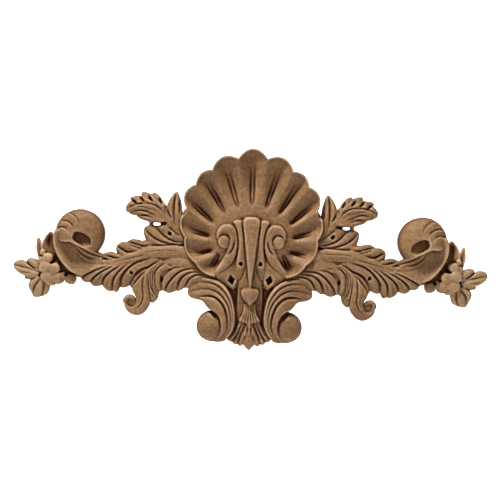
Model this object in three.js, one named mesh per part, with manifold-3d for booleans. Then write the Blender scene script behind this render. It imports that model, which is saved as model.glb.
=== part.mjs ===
// A carved wooden applique: a fluted scallop shell over a scrolled keystone, with acanthus wings that end
// in rolled scrolls and flower sprays. It is one carved piece with a flat back, 470 mm wide, to be glued
// on furniture.
// Millimetres, +Z up. The back plane is Y = 0 and the carving faces -Y. Both sides of X = 0 are the same.
import * as THREE from 'three';
import * as BufferGeometryUtils from 'three/addons/utils/BufferGeometryUtils.js';
import Module from 'manifold-3d';

const wasm = await Module();
wasm.setup();

// Driving dimensions
const WIDTH = 470; // leaf tip to leaf tip
const RELIEF = 30; // back plane to the front of the keystone
const GROUND = 5; // thickness of the wood left at the bottom of the deep pockets
const PIERCING = 3.6; // height of the slit pierced under each shoulder leaf

// The carving below is drawn at 470 mm wide and 30 mm deep, and kept as shares of those two lengths.
const DRAWN_WIDTH = 470;
const DRAWN_RELIEF = 30;
const PLAN = WIDTH / DRAWN_WIDTH;
const DEEP = RELIEF / DRAWN_RELIEF;
const ABOVE = 50; // level that every cut reaches in front of the carving
const BEHIND = -2; // level that every solid reaches behind the back, where one flat cut trims them all
const FLUTE_STEPS = 4; // facets across one flute of the shell
const EDGE_SHARE = 0.74; // height along a leaf's edges, as a share of its crest
const TIP_SHARE = 0.82; // height round a leaf's tip, as a share of its crest
const EDGE_RUN = 1.6; // how fast a leaf's edges drop from their height at the root
const TIP_OUT = 0.05; // least share of a lobe's half width that its tip runs out
const GROOVE_OPEN = 3; // how many half widths a groove's sides run on above the wood
const GROOVE_SLOPE = 5; // how much the sides of a groove rise over one half width

// A closed solid over a grid of points. place(i, j) gives [x, z, height], and the sides drop square to
// a level.
function gridSolid(rows, columns, place, level) {
  const points = [];
  const floor = [];
  for (let i = 0; i <= rows; i++) {
    for (let j = 0; j <= columns; j++) {
      const [x, z, height] = place(i, j);
      points.push(x * PLAN, -height * DEEP, z * PLAN);
      floor.push(x * PLAN, -level * DEEP, z * PLAN);
    }
  }
  const triangles = [];
  const count = points.length / 3;
  const at = (i, j) => i * (columns + 1) + j;
  const quad = (a, b, c, d) => triangles.push(a, b, c, a, c, d);
  for (let i = 0; i < rows; i++) {
    for (let j = 0; j < columns; j++) {
      quad(at(i, j), at(i + 1, j), at(i + 1, j + 1), at(i, j + 1));
      quad(count + at(i, j + 1), count + at(i + 1, j + 1), count + at(i + 1, j), count + at(i, j));
    }
  }
  const wall = (a, b) => quad(a, b, count + b, count + a);
  for (let i = 0; i < rows; i++) {
    wall(at(i + 1, 0), at(i, 0));
    wall(at(i, columns), at(i + 1, columns));
  }
  for (let j = 0; j < columns; j++) {
    wall(at(0, j), at(0, j + 1));
    wall(at(rows, j + 1), at(rows, j));
  }
  return facedOut([...points, ...floor], triangles);
}

// Turns the triangles round if they face inwards, and makes the solid
function facedOut(points, triangles) {
  const a = new THREE.Vector3();
  const b = new THREE.Vector3();
  const c = new THREE.Vector3();
  const faces = new Uint32Array(triangles);
  let volume = 0;
  for (let i = 0; i < faces.length; i += 3) {
    a.fromArray(points, faces[i] * 3);
    b.fromArray(points, faces[i + 1] * 3);
    c.fromArray(points, faces[i + 2] * 3);
    volume += a.dot(b.cross(c));
  }
  if (volume < 0) {
    for (let i = 0; i < faces.length; i += 3) {
      [faces[i + 1], faces[i + 2]] = [faces[i + 2], faces[i + 1]];
    }
  }
  return new wasm.Manifold(new wasm.Mesh({
    numProp: 3,
    vertProperties: new Float32Array(points),
    triVerts: faces,
  }));
}

// A line is drawn as a start [x, z] and one or more bows [x, z, rise]: each bow runs on to its own x and
// z, and its middle stands off the straight way there by the rise, to the left when going along it.
function along(line, steps) {
  const points = [new THREE.Vector2(...line[0])];
  for (let k = 1; k < line.length; k++) {
    const from = points.at(-1);
    const to = new THREE.Vector2(line[k][0], line[k][1]);
    const way = to.clone().sub(from).normalize();
    const middle = from.clone().add(to).multiplyScalar(0.5);
    const pull = new THREE.Vector2(-way.y, way.x).multiplyScalar(2 * line[k][2]).add(middle);
    points.push(...new THREE.QuadraticBezierCurve(from, pull, to).getPoints(steps).slice(1));
  }
  return points;
}

// The value at a share of the way through a list of evenly spread values
function spread(values, share) {
  const place = share * (values.length - 1);
  const low = Math.min(Math.floor(place), values.length - 2);
  return values[low] + (values[low + 1] - values[low]) * (place - low);
}

// Leaf lobes side by side, in one solid. Each line runs from root to tip along an edge of a lobe, and
// shares, where they are given, put more edges between the first two lines, at their shares of the way
// across at root and tip. The wood is as high as given along the crest of each lobe and lower along the
// edges, and bulges past each tip.
function fanSolid(fan, side = 1) {
  const { lines, shares, heights, bulge = 0.4, root = 0.95, edge = EDGE_SHARE } = fan;
  const { hollow = 0, across = [-1, 0], steps = 3 } = fan;
  const drawn = lines.map((line) => along(line, steps));
  const last = drawn[0].length - 1;
  const between = ([start, end]) =>
    drawn[0].map((p, i) => p.clone().lerp(drawn[1][i], start + (end - start) * (i / last)));
  const edges = shares ? shares.map(between) : drawn;
  const columns = (edges.length - 1) * across.length;
  const place = (i, j) => {
    const k = Math.min(Math.floor(j / across.length), edges.length - 2);
    const s = j === columns ? 1 : across[j - k * across.length];
    const row = Math.min(i, last);
    const share = row / last;
    const [a, b] = [edges[k][row], edges[k + 1][row]];
    const sides = root + (edge - root) * Math.min(1, EDGE_RUN * share);
    const dip = hollow * (1 - share ** 3);
    const crest = spread(heights, share) * (sides + (1 - sides - dip) * (1 - s * s));
    const at = a.clone().lerp(b, (s + 1) / 2);
    if (i > last) {
      const way = a.clone().add(b).sub(edges[k][last - 1]).sub(edges[k + 1][last - 1]).normalize();
      at.addScaledVector(way, (a.distanceTo(b) / 2) * (bulge * (1 - s * s) + TIP_OUT));
    }
    return [side * at.x, at.y, i > last ? crest * TIP_SHARE : crest];
  };
  return gridSolid(last + (bulge > 0 ? 1 : 0), columns, place, BEHIND);
}

// A bar or a leaf along one line, with its half widths and crest heights evenly spread along it
function barSolid({ line, widths, ...options }, side = 1) {
  const { steps = 3, edge = EDGE_SHARE } = options;
  const middle = along(line, steps);
  const edges = [1, -1].map((way) =>
    middle.map((p, i) => {
      const before = middle[Math.max(0, i - 1)];
      const on = middle[Math.min(middle.length - 1, i + 1)].clone().sub(before).normalize();
      const w = way * spread(widths, i / (middle.length - 1));
      return [p.x - on.y * w, p.y + on.x * w, 0];
    }),
  );
  return fanSolid({ root: edge, ...options, lines: edges, steps: 1 }, side);
}

// A point of the square -1 to 1 moved into the round
const rounded = (a, b) => [a * Math.sqrt(1 - (b * b) / 2), b * Math.sqrt(1 - (a * a) / 2)];

// A round or oval boss; rim is the share of its height that its edge keeps
function boss([x, z, rx, rz, h], { rim = 0.5, steps = 6, side = 1 } = {}) {
  const place = (i, j) => {
    const [p, q] = rounded((2 * i) / steps - 1, (2 * j) / steps - 1);
    return [
      side * (x + p * rx),
      z + q * rz,
      h * (rim + (1 - rim) * Math.sqrt(Math.max(0, 1 - p * p - q * q))),
    ];
  };
  return gridSolid(steps, steps, place, BEHIND);
}

// A four-sided pocket with its corners on its axes, turned by an angle and cut down to a floor
function pocket([x, z, rx, rz, floor, turn = 0], side = 1) {
  const place = (i, j) => {
    const [a, b] = [(i + j - 1) * rx, (j - i) * rz];
    return [
      side * (x + a * Math.cos(turn) - b * Math.sin(turn)),
      z + a * Math.sin(turn) + b * Math.cos(turn),
      floor,
    ];
  };
  return gridSolid(1, 1, place, ABOVE);
}

// A V groove along a line, with its half widths at the wood's face and its floor heights evenly spread
// along it
function grooveCut({ line, widths, floors, steps = 2 }, side = 1) {
  const middle = along(line, steps);
  const place = (i, j) => {
    const on = middle[Math.min(
      middle.length - 1,
      i + 1,
    )].clone().sub(middle[Math.max(0, i - 1)]).normalize();
    const share = i / (middle.length - 1);
    const s = (j - 1) * spread(widths, share) * GROOVE_OPEN;
    const rise = Math.abs(j - 1) * GROOVE_SLOPE * GROOVE_OPEN;
    return [side * (middle[i].x - on.y * s), middle[i].y + on.x * s, spread(floors, share) + rise];
  };
  return gridSolid(middle.length - 1, 2, place, ABOVE);
}

// A cut with square sides between two lines, down to floors evenly spread along it
function trenchCut({ lines, floors, steps = 2 }, side = 1) {
  const edges = lines.map((line) => along(line, steps));
  const last = edges[0].length - 1;
  return gridSolid(
    last,
    1,
    (i, j) => [side * edges[j][i].x, edges[j][i].y, spread(floors, i / last)],
    ABOVE,
  );
}

const solids = [];
const cuts = [];
const bothSides = (list, make) => list.push(make(1), make(-1));
const fans = (list) => list.forEach((fan) => bothSides(solids, (side) => fanSolid(fan, side)));
const bars = (list) => list.forEach((bar) => bothSides(solids, (side) => barSolid(bar, side)));
const bosses = (list, options) => list.forEach((row) => bothSides(
  solids,
  (side) => boss(row, { ...options, side }),
));
const pockets = (list) => list.forEach((row) => bothSides(cuts, (side) => pocket(row, side)));
const grooves = (list) => list.forEach((row) => bothSides(cuts, (side) => grooveCut(row, side)));

// The shell: the cusps between its flutes, how far each flute's rim bulges past them, and where each
// flute starts. The first flute stands on the axis, and the others repeat on both sides.
const SHELL = {
  cusps: [[14.5, 90], [40, 78.5], [56, 63.5], [65, 40], [66, 11], [55, -14], [36, -27]],
  bulges: [10.5, 8, 5, 6.8, 5.7, 4.3, 3],
  roots: [[0, 39], [12.6, 36], [25, 31], [34.4, 24], [37, 12], [33, 1], [25, -6]],
  rimHeight: 22.5,
  rootHeight: 16,
  fluteDepth: 4.5,
  lip: 1.3,
  rings: [0, 0.5, 0.95, 1],
  slotStart: 0.1,
  slotEnd: 0.74,
  slotFloor: 12,
  slotFade: 0.6,
  slotWidths: [1.5, 0.4],
  dome: [0, 8, 41, 35, 20.5],
  domeRim: 0.84,
};

// The rim at a place counted in flutes from the axis
function shellRim(q) {
  const index = Math.round(Math.abs(q));
  const outer = SHELL.cusps[index];
  const inner = index === 0 ? [-outer[0], outer[1]] : SHELL.cusps[index - 1];
  const t = (index === 0 ? q : Math.abs(q) - index) + 0.5;
  const [dx, dz] = [outer[0] - inner[0], outer[1] - inner[1]];
  const out = (SHELL.bulges[index] * Math.sin(Math.PI * t) ** 0.8) / Math.hypot(dx, dz);
  const side = index > 0 && q < 0 ? -1 : 1;
  return [side * (inner[0] + dx * t - dz * out), inner[1] + dz * t + dx * out];
}

function shellRoot(q) {
  const place = Math.min(Math.abs(q), SHELL.roots.length - 1);
  const low = Math.floor(place);
  const [a, b] = [SHELL.roots[low], SHELL.roots[Math.min(low + 1, SHELL.roots.length - 1)]];
  return [Math.sign(q) * (a[0] + (b[0] - a[0]) * (place - low)), a[1] + (b[1] - a[1]) * (place - low)];
}

// d is the place across a flute, 0 at its middle and 0.5 at its cusps, and r runs from the root to the
// rim
function shellHeight(d, r) {
  const bowl = SHELL.rootHeight + (SHELL.rimHeight - SHELL.rootHeight) * r ** 1.6;
  const flute = SHELL.fluteDepth * Math.cos(Math.PI * d) * Math.sin(Math.min(1, r / 0.7) * Math.PI * 0.5);
  return bowl - flute + (r > 0.9 ? SHELL.lip * (r > 0.99 ? 0.4 : 1) : 0);
}

const NEAR_END = 1e-6; // keeps the ends of the shell's grid inside its last flutes

function shell() {
  const half = SHELL.cusps.length - 0.5;
  const place = (i, j) => {
    const q = THREE.MathUtils.clamp(-half + i / FLUTE_STEPS, NEAR_END - half, half - NEAR_END);
    const r = SHELL.rings[j];
    const [rim, root] = [shellRim(q), shellRoot(q)];
    return [
      root[0] + (rim[0] - root[0]) * r,
      root[1] + (rim[1] - root[1]) * r,
      shellHeight(q - Math.round(q), r),
    ];
  };
  solids.push(gridSolid(2 * half * FLUTE_STEPS, SHELL.rings.length - 1, place, BEHIND));
  solids.push(boss(SHELL.dome, { rim: SHELL.domeRim, steps: 5 }));
  for (let q = 0; q < SHELL.cusps.length; q++) {
    const [rim, root] = [shellRim(q), shellRoot(q)];
    const on = (r) => [root[0] + (rim[0] - root[0]) * r, root[1] + (rim[1] - root[1]) * r];
    const floors = [SHELL.slotFloor, shellHeight(0, SHELL.slotEnd) - SHELL.slotFade];
    const slot = {
      line: [on(SHELL.slotStart), [...on(SHELL.slotEnd), 0]],
      widths: SHELL.slotWidths,
      floors,
      steps: 1,
    };
    if (q === 0) cuts.push(grooveCut(slot));
    else grooves([slot]);
  }
}

// Wood behind the gaps between the leaves
function ground() {
  const flat = { edge: 1, bulge: 0, across: [-1], steps: 1 };
  bars([
    { ...flat, line: [[44, -12], [96, -14, 0], [150, -19, 0]], widths: [18, 16, 8], heights: [9, 9, 8] },
    { ...flat, line: [[60, 8], [86, 30, 0]], widths: [13, 8], heights: [9, 8] },
    { ...flat, line: [[28, -26], [46, -30, 0]], widths: [6, 5], heights: [9, 9] },
    { ...flat, line: [[84, -26], [89, -41, 0]], widths: [5, 1.6], heights: [8, 8] },
    { ...flat, line: [[106, -22], [116.4, -39, 0]], widths: [5, 2.4], heights: [8, 8] },
    { ...flat, line: [[168, -22], [200, -24, 0], [212, -26, 0]], widths: [7, 11, 7], heights: [7, 7] },
    { ...flat, line: [[202, -28], [204, 2, 0]], widths: [6, 4], heights: [7, 7] },
  ]);
  solids.push(barSolid({ ...flat, line: [[0, 30], [0, -37, 0]], widths: [22, 18], heights: [18, 17] }));
  solids.push(barSolid({ ...flat, line: [[0, -34], [0, -88, 0]], widths: [24, 18], heights: [8, 8] }));
}

// The keystone: a tapered tongue between two straps, which end in beaks, and two volutes
function keystone() {
  solids.push(
    barSolid({
      line: [[0, 31.6], [0, 24, 0], [0, -38, 0]],
      widths: [4.6, 8.2, 8.2, 6, 3.6, 2.4, 1.2],
      heights: [27, 29, 30, 27, 21],
      edge: 0.95,
      bulge: 0,
    }),
  );
  fans([
    {
      lines: [[[13.4, -31], [13, 6, 0.6], [18, 24, 1]], [[7, -23], [6.4, 4, 1.6], [9.6, 26.6, 0.4]]],
      heights: [17, 23.5, 25.5, 26.5, 26],
      root: 0.92,
      edge: 0.92,
      steps: 2,
    },
    {
      lines: [[[15, -10], [16, -38.6, -0.8]], [[36, -14], [18.6, -40, 10]]],
      heights: [18.5, 18.5, 18, 15],
      root: 0.92,
      edge: 0.92,
    },
  ]);
  bars([
    {
      line: [[36, -24.5], [15.8, 3, 3.8], [26, 20.8, 4.6], [34.2, 9, 2.6], [30.6, 1.4, 1.3]],
      widths: [4.6, 5, 2.8, 3.4, 4.6, 3.6, 2, 1.7, 1.5],
      heights: [19.5, 22, 24, 25.5, 25, 24, 22],
      edge: 0.86,
      steps: 2,
    },
  ]);
  bosses([[25.6, 7.4, 9.2, 9.2, 20.5]], { rim: 1, steps: 3 });
  bosses([[27.4, 7.2, 5.2, 6, 24.5]], { rim: 0.84, steps: 3 });
  pockets([[9.6, -13.6, 1.6, 2.2, 12], [18.6, -30.4, 2.6, 3.6, 9]]);
  grooves([
    { line: [[9, 28], [2.2, -36, -0.6]], widths: [0.4, 0.8, 0.8], floors: [22, 21.5, 16], steps: 3 },
    { line: [[20, 26], [13, 0, -2], [27, -21.6, -2.6]], widths: [0.4, 0.8, 0.3], floors: [21, 19.5, 16] },
    { line: [[6, -17], [12, -31.5, -0.3]], widths: [0.3, 0.9, 0.5], floors: [18, 13, 13] },
  ]);
}

// The column under the keystone: a bud, a fluted bell, a husk and a fan of leaf points
function column() {
  solids.push(barSolid({
    line: [[0, -18], [0, -72, 0]],
    widths: [9.4, 10.4, 10.2],
    heights: [17.5, 15.5, 14],
    edge: 0.85,
    bulge: 0,
    steps: 2,
  }));
  solids.push(barSolid({
    line: [[0, -38.4], [0, -52, 0]],
    widths: [6.4, 9, 7.4, 3],
    heights: [20, 23.5, 23.5, 21],
    edge: 0.8,
    bulge: 0.8,
  }));
  const rays = (reach, top, foot, drop, gap, grow) =>
    Array.from({ length: 2 * reach + 2 }, (_, n) => {
      const i = n - reach - 0.5;
      return [[i * gap, top], [i * gap * grow, foot + Math.abs(i) * drop, Math.sign(i) * 0.4]];
    });
  const bell = {
    lines: rays(3, -52, -73.4, 0.4, 1.8, 1.7),
    heights: [17, 19.5, 18.5],
    bulge: 0.9,
    root: 0.84,
    edge: 0.8,
    steps: 2,
  };
  const husk = {
    lines: rays(1, -72, -84, 0.6, 2.8, 1.2),
    heights: [15, 16, 16.5],
    bulge: 0.8,
    root: 0.84,
    edge: 0.8,
    steps: 1,
  };
  solids.push(fanSolid(bell), fanSolid(husk));
  solids.push(barSolid({
    line: [[0, -80], [0, -95.2, 0]],
    widths: [5, 6.4, 4.4],
    heights: [14.5, 15, 11.5],
    bulge: 1,
    steps: 2,
  }));
  fans([
    {
      lines: [
        [[1, -76], [5.6, -94.4, 0.6]], [[4.6, -74], [10.8, -93.4, 0.6]], [[7, -72], [15.8, -91.4, 0.4]],
        [[9, -70], [21, -88, 0.4]],
      ],
      heights: [13.5, 13.5, 11],
      bulge: 0.6,
      steps: 2,
    },
  ]);
}

// The C-scroll leaf on each side of the column, and the ball that it rolls round
function lowerScroll() {
  bosses([[37, -76.3, 15.4, 15.4, 20.5]], { rim: 0.4, steps: 6 });
  fans([
    {
      lines: [
        [[24, -90.6], [30, -32.4, 12.4], [59.4, -36, 6.3]], [[38, -91.2], [36, -61.6, 7.6], [57, -49.6, 1]],
      ],
      shares: [[0, 0], [0.12, 0.2], [0.3, 0.52], [0.52, 0.82], [1, 1]],
      heights: [16, 22.5, 24, 23.5, 21, 17.5, 12.5],
      root: 0.84,
      edge: 0.8,
      steps: 3,
    },
  ]);
}

// The wing: its rib, the lobes over and under it, the hooked leaf and the lobes that spread from under
// the shell
function wing() {
  fans([
    {
      lines: [
        [[60, 1], [108, -1.6, 2.6], [152, -13, -2]], [[58, -12], [105, -12.8, 2.8], [152, -22, -2.4]],
      ],
      shares: [[0, 0], [0.5, 0.5], [1, 1]],
      heights: [15.5, 18.5, 18, 16.5, 14.5],
      bulge: 0,
      edge: 0.9,
    },
    {
      lines: [[[58, -8], [86, -11, 1.4]], [[52, -21], [80, -20.8, 1]]],
      heights: [14, 17.5, 17],
      bulge: 0,
      edge: 0.92,
      steps: 2,
    },
    {
      lines: [
        [[146, -17.5], [175, -27.4, 0]], [[143, -18.6], [168.8, -30.6, 0.5]],
        [[137, -18.8], [159.6, -35.4, 2.2]],
        [[128, -17.6], [147.6, -37.6, 3.6]], [[120, -15], [136.6, -43.6, 5.6]],
        [[98, -9.6], [129, -40, 8.6]],
        [[88, -11.4], [118.6, -38.4, 4.9]], [[92, -16], [117.2, -41, 3.5]],
      ],
      heights: [17, 16, 10.5],
      edge: 0.7,
      steps: 2,
    },
    {
      lines: [
        [[130, -8.6], [148, -6.8, 2.4]], [[130, -11], [148.4, -8.6, -0.4]],
        [[130, -12.4], [149.6, -10.4, -1.7]],
      ],
      heights: [15, 14, 11.5],
      bulge: 0.3,
      edge: 0.76,
      steps: 2,
    },
    {
      lines: [
        [[110, 2], [134.2, 2.2, 2.4]], [[111, -2.6], [134.4, 0.8, -3.6]], [[112, -6], [134, -6.8, -4.4]],
      ],
      heights: [16, 14, 10.5],
      edge: 0.76,
      steps: 2,
    },
    {
      lines: [[[98, 4], [122.6, 6, 2.4]], [[99, 2.4], [123.6, 4.8, -1.8]], [[100, 0], [123.6, 3.4, -3.7]]],
      heights: [16, 14, 11],
      edge: 0.78,
      steps: 2,
    },
    // The hooked leaf, in two bands that curl round its eye
    {
      lines: [
        [[97, -18], [117, -42, 2.6], [115.8, -53.4, -0.8], [122.6, -57.2, -2.4], [122.6, -52, -1.4]],
        [[100, -20.6], [107.4, -47, 3], [118.2, -62, -2.5], [125.6, -55, -2.4], [122, -50.8, -1.4]],
        [[98, -21], [99.6, -54, 2.2], [113.4, -67.8, -3.4], [127, -57, -4], [122, -49.2, -2.6]],
      ],
      heights: [16.5, 15.5, 14, 13, 12.5],
      bulge: 0,
      edge: 0.82,
      steps: 2,
    },
    // Narrow bands that turn with the hooked leaf, and the lobe beside the pocket
    {
      lines: [
        [[99.6, -19], [98.4, -54.6, 2.2]], [[90, -12.6], [91, -48.6, 8.6]],
        [[85, -13.8], [90.6, -44.4, 7.8]], [[78, -19.4], [88, -42.6, 5.6]],
      ],
      heights: [17.5, 16.5, 15, 11],
      edge: 0.78,
      steps: 3,
    },
    {
      lines: [
        [[50, -17], [87.4, -42, 12.4]], [[48, -20], [85.2, -42.6, 8.6]], [[46, -22.6], [73.4, -41.8, 7.8]],
        [[44, -25], [65.4, -38.6, 5]], [[38, -29], [61.4, -38.2, 4.2]],
      ],
      heights: [15, 16.5, 15.5, 10.5],
      edge: 0.72,
      steps: 3,
    },
  ]);
  pockets([
    [119, -25.4, 1.9, 2.7, 9, -0.6], [88.8, -32, 2.2, 4.6, 6, -0.15],
  ]);
  bosses([[120.4, -54.4, 5, 5, 7]], { rim: 1, steps: 2 });
}

// The hollow trumpet at the end of the wing, the ball that it rolls into, and the scales where it closes
const BALL = { x: 172.3, z: 12, radius: 24.8, height: 26, rim: 0.42 };

// The scales: x, z, radius and rise over the ball
const SCALES = [[183, 24, 8, 1.2], [187, 16.6, 7.4, 2.4], [190, 9.6, 7.6, 3.4]];
const SCALE_STEPS = 2;

function onBall(x, z, raise) {
  const out = Math.min(1, Math.hypot(x - BALL.x, z - BALL.z) / BALL.radius);
  return BALL.height * (BALL.rim + (1 - BALL.rim) * Math.sqrt(1 - out * out)) + raise;
}

function scale([x, z, radius, raise], side) {
  const place = (i, j) => {
    const [p, q] = rounded((2 * i) / SCALE_STEPS - 1, (2 * j) / SCALE_STEPS - 1);
    return [side * (x + p * radius), z + q * radius, onBall(x + p * radius, z + q * radius, raise)];
  };
  return gridSolid(SCALE_STEPS, SCALE_STEPS, place, BEHIND);
}

function rolledScroll() {
  const outer = [[150, -22], [198.4, 6, -17.8]];
  const rim = [[150, -20.4], [195.8, 6.4, -16.4]];
  const lip = [[150, -19.2], [194.4, 6.8, -15.9]];
  const inner = [[150, -12], [184.4, 13, -4.6]];
  const opening = {
    lines: [[[160, -32], [204, 0, -14], [199, 14, -1]], [[158, -9.8], [184, 12.4, -4], [188, 16.6, 0]]],
    floors: [2, 2],
  };
  const mouth = {
    lines: [[[180.6, 13.6], [163, 2.6, -3.2]], [[180.6, 8.4], [165.4, -2.4, 1]]],
    floors: [12, 8, 7],
    steps: 2,
  };
  fans([
    {
      lines: [rim, inner],
      heights: [15, 16.5, 18.5, 22.5],
      root: 1,
      edge: 1,
      hollow: 0.42,
      bulge: 0.5,
      across: [-1, -0.3],
      steps: 5,
    },
    {
      lines: [outer, lip],
      heights: [14.5, 17.5, 19.5, 22.5],
      root: 0.95,
      edge: 0.95,
      bulge: 0,
      across: [-1],
      steps: 5,
    },
  ]);
  bothSides(solids, (side) => {
    const ball = boss(
      [BALL.x, BALL.z, BALL.radius, BALL.radius, BALL.height],
      { rim: BALL.rim, steps: 7, side },
    );
    const roll = SCALES.reduce(
      (a, row) => a.add(scale(row, side)),
      ball.subtract(trenchCut(opening, side)),
    );
    return roll.subtract(trenchCut(mouth, side));
  });
  bars([
    { line: [[146, -15], [178.6, 3, -4.2]], widths: [2.4, 2, 1], heights: [15.5, 14.5, 15], edge: 0.8 },
    {
      line: [[154, -10], [179.4, 5.6, -1.6]],
      widths: [1.6, 1.4, 0.9],
      heights: [15, 16.5, 17.5],
      edge: 0.8,
    },
  ]);
}

// The leaves at the shell's shoulder, over the wing
function shoulder() {
  fans([
    {
      lines: [
        [[86, 26], [110.6, 28.2, -2.2]], [[86.6, 28], [114.4, 31.8, 2.2]], [[87, 30], [121.6, 34, 5]],
        [[87.4, 32], [125.4, 37.8, 7.6]],
        [[87.6, 34.6], [120.4, 46.4, 4.8]], [[87.4, 36.6], [109.4, 51.4, 1.8]],
        [[87.2, 38.6], [99, 52.8, 0.6]], [[86.6, 41], [94.4, 53.4, 1.4]],
      ],
      heights: [15, 13.8, 10],
      bulge: 0.35,
      steps: 2,
    },
    {
      lines: [[[84, 22], [76.8, 55.4, -5]], [[76, 20], [75.6, 55.6, -1.6]], [[69, 20], [74, 55.4, 2.2]]],
      heights: [15, 14, 12.5, 9.5],
      edge: 0.8,
      bulge: 0.5,
    },
    {
      lines: [
        [[66, 10.4], [90, 22, 2.6]], [[70, 5.4], [94.4, 20.4, -3.4]], [[76, 3.8], [106.6, 19.2, -4.2]],
        [[78, 1.6], [106.2, 12, -5.6]],
      ],
      heights: [15.5, 15, 11],
      edge: 0.76,
      bulge: 0.25,
      steps: 2,
    },
    {
      lines: [[[90, 27], [87, 43, -1.6]], [[80, 25], [85.6, 42.6, -1.4]]],
      heights: [14.5, 13.5, 11],
      edge: 0.8,
      steps: 2,
    },
    {
      lines: [[[94, 3.6], [107, 7.4, 1]], [[94, 0.4], [108, 2, 0]]],
      heights: [15, 14.5, 13],
      edge: 0.8,
      steps: 2,
    },
    {
      lines: [[[103, 17], [101, 30, 0]], [[99, 17], [98, 30, 0]]],
      heights: [10, 10],
      bulge: 0,
      across: [-1],
      steps: 1,
    },
    {
      lines: [[[64, 14], [76, 28, 1.4]], [[70, 10.6], [84, 22, 0.6]]],
      heights: [14.5, 14, 13.5],
      edge: 0.8,
      steps: 2,
    },
  ]);
  pockets([
    [81.6, 13.6, 1.8, 2.8, 9, 0.7], [88.6, 24, 2.4, 2, 6],
    [95.4, 23.4, 5.4, PIERCING / 2 / PLAN, -1, 0.14],
  ]);
}

// The flower's petals and the buds round it: x, z, half width, half height and height
const FLOWER = [
  [204.2, -22.9, 5.7, 5.3, 16], [195.6, -23.4, 6, 5.6, 15.4], [200, -32, 9.4, 6.2, 15],
  [203.3, -13.4, 4.3, 5.7, 14.4], [207.8, -10, 2.8, 5, 12.4], [188.4, -31.6, 5.4, 5.6, 13.6],
  [178.8, -33.2, 5.6, 5.2, 12],
];
const FLOWER_RIM = 0.76;

// The flower, buds and leaves at the end of the wing
function spray() {
  fans([
    {
      lines: [
        [[209, -24.4], [232.6, -15.6, -0.6]], [[209, -27.4], [235, -21.6, -1.2]],
        [[211, -30.6], [233.4, -26.2, -3]],
      ],
      heights: [11.5, 11.5, 8.5],
      edge: 0.8,
      steps: 2,
    },
    {
      lines: [
        [[214, -30], [219.4, -45.4, 2.6]], [[208, -33], [218.4, -49, 0.6]],
        [[204.6, -35], [211, -50.6, -1.6]], [[199, -36], [204.4, -47.6, -1.4]],
      ],
      heights: [11, 11.5, 8.5],
      edge: 0.78,
      bulge: 0.3,
      steps: 2,
    },
    {
      lines: [[[210, -19.6], [220.4, -13.8, 0.8]], [[210, -25], [221.6, -19.4, -0.8]]],
      heights: [10.5, 10.5, 9.5],
      edge: 0.76,
      steps: 2,
    },
    {
      lines: [[[198.6, -8], [200.4, 11.4, 1]], [[205.4, -8], [203.6, 11, -2]]],
      heights: [9, 9.5, 8],
      edge: 0.76,
      bulge: 1.6,
      steps: 2,
    },
    {
      lines: [[[205.4, -11], [211.4, 6.6, 0.4]], [[210.4, -12], [213, 6.6, -1.6]]],
      heights: [9, 9.5, 8],
      edge: 0.76,
      bulge: 0.8,
      steps: 2,
    },
  ]);
  bosses(FLOWER, { rim: FLOWER_RIM, steps: 2 });
  pockets([
    [195.6, -14.4, 3.4, 5.4, GROUND / DEEP], [184.4, -28.8, 2.8, 3.2, GROUND / DEEP],
  ]);
}

// The flat back
function wallSide() {
  const box = new THREE.BoxGeometry(WIDTH * 1.5, RELIEF, WIDTH).translate(0, RELIEF / 2, 0);
  box.deleteAttribute('normal');
  box.deleteAttribute('uv');
  const merged = BufferGeometryUtils.mergeVertices(box);
  return facedOut(merged.attributes.position.array, merged.index.array);
}

ground();
shell();
keystone();
column();
lowerScroll();
wing();
rolledScroll();
shoulder();
spray();
cuts.push(wallSide());

const joined = solids.reduce((a, b) => a.add(b));
const carved = cuts.reduce((a, b) => a.subtract(b), joined).getMesh();
const geometry = new THREE.BufferGeometry();
geometry.setAttribute('position', new THREE.BufferAttribute(carved.vertProperties, 3));
geometry.setIndex(new THREE.BufferAttribute(carved.triVerts, 1));
geometry.computeVertexNormals();

const wood = new THREE.MeshStandardMaterial({ color: 0x9c7450, roughness: 0.72, metalness: 0 });
const applique = new THREE.Mesh(geometry, wood);
applique.name = 'carved_applique';

const part = new THREE.Group();
part.add(applique);
export default part;
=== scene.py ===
"""A carved wooden applique: shell, keystone, acanthus wings, rolled scrolls and flower sprays.

The carving is one height field in millimetres above the flat back. Its surfaces are drawn for the right
half, the highest one shows, cuts and grooves go down into it, and the left half is its mirror image.
"""
import math

import bmesh
import bpy
import numpy as np
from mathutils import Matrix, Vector
from mathutils.bvhtree import BVHTree


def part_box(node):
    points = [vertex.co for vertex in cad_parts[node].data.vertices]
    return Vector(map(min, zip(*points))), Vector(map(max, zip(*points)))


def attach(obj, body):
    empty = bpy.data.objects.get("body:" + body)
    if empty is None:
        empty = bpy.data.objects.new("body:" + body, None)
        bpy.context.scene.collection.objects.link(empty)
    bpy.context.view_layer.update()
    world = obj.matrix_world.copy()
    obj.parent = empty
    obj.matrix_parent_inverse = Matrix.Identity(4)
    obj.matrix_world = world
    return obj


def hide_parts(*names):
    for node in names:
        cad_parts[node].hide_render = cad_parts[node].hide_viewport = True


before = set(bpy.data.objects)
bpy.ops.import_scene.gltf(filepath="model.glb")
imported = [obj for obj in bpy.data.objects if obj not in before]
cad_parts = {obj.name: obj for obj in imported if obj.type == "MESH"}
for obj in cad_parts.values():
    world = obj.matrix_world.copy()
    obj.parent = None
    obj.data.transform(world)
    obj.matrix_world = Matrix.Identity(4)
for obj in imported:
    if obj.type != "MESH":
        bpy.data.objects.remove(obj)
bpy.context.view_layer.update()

NODE = "carved_applique"

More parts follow.
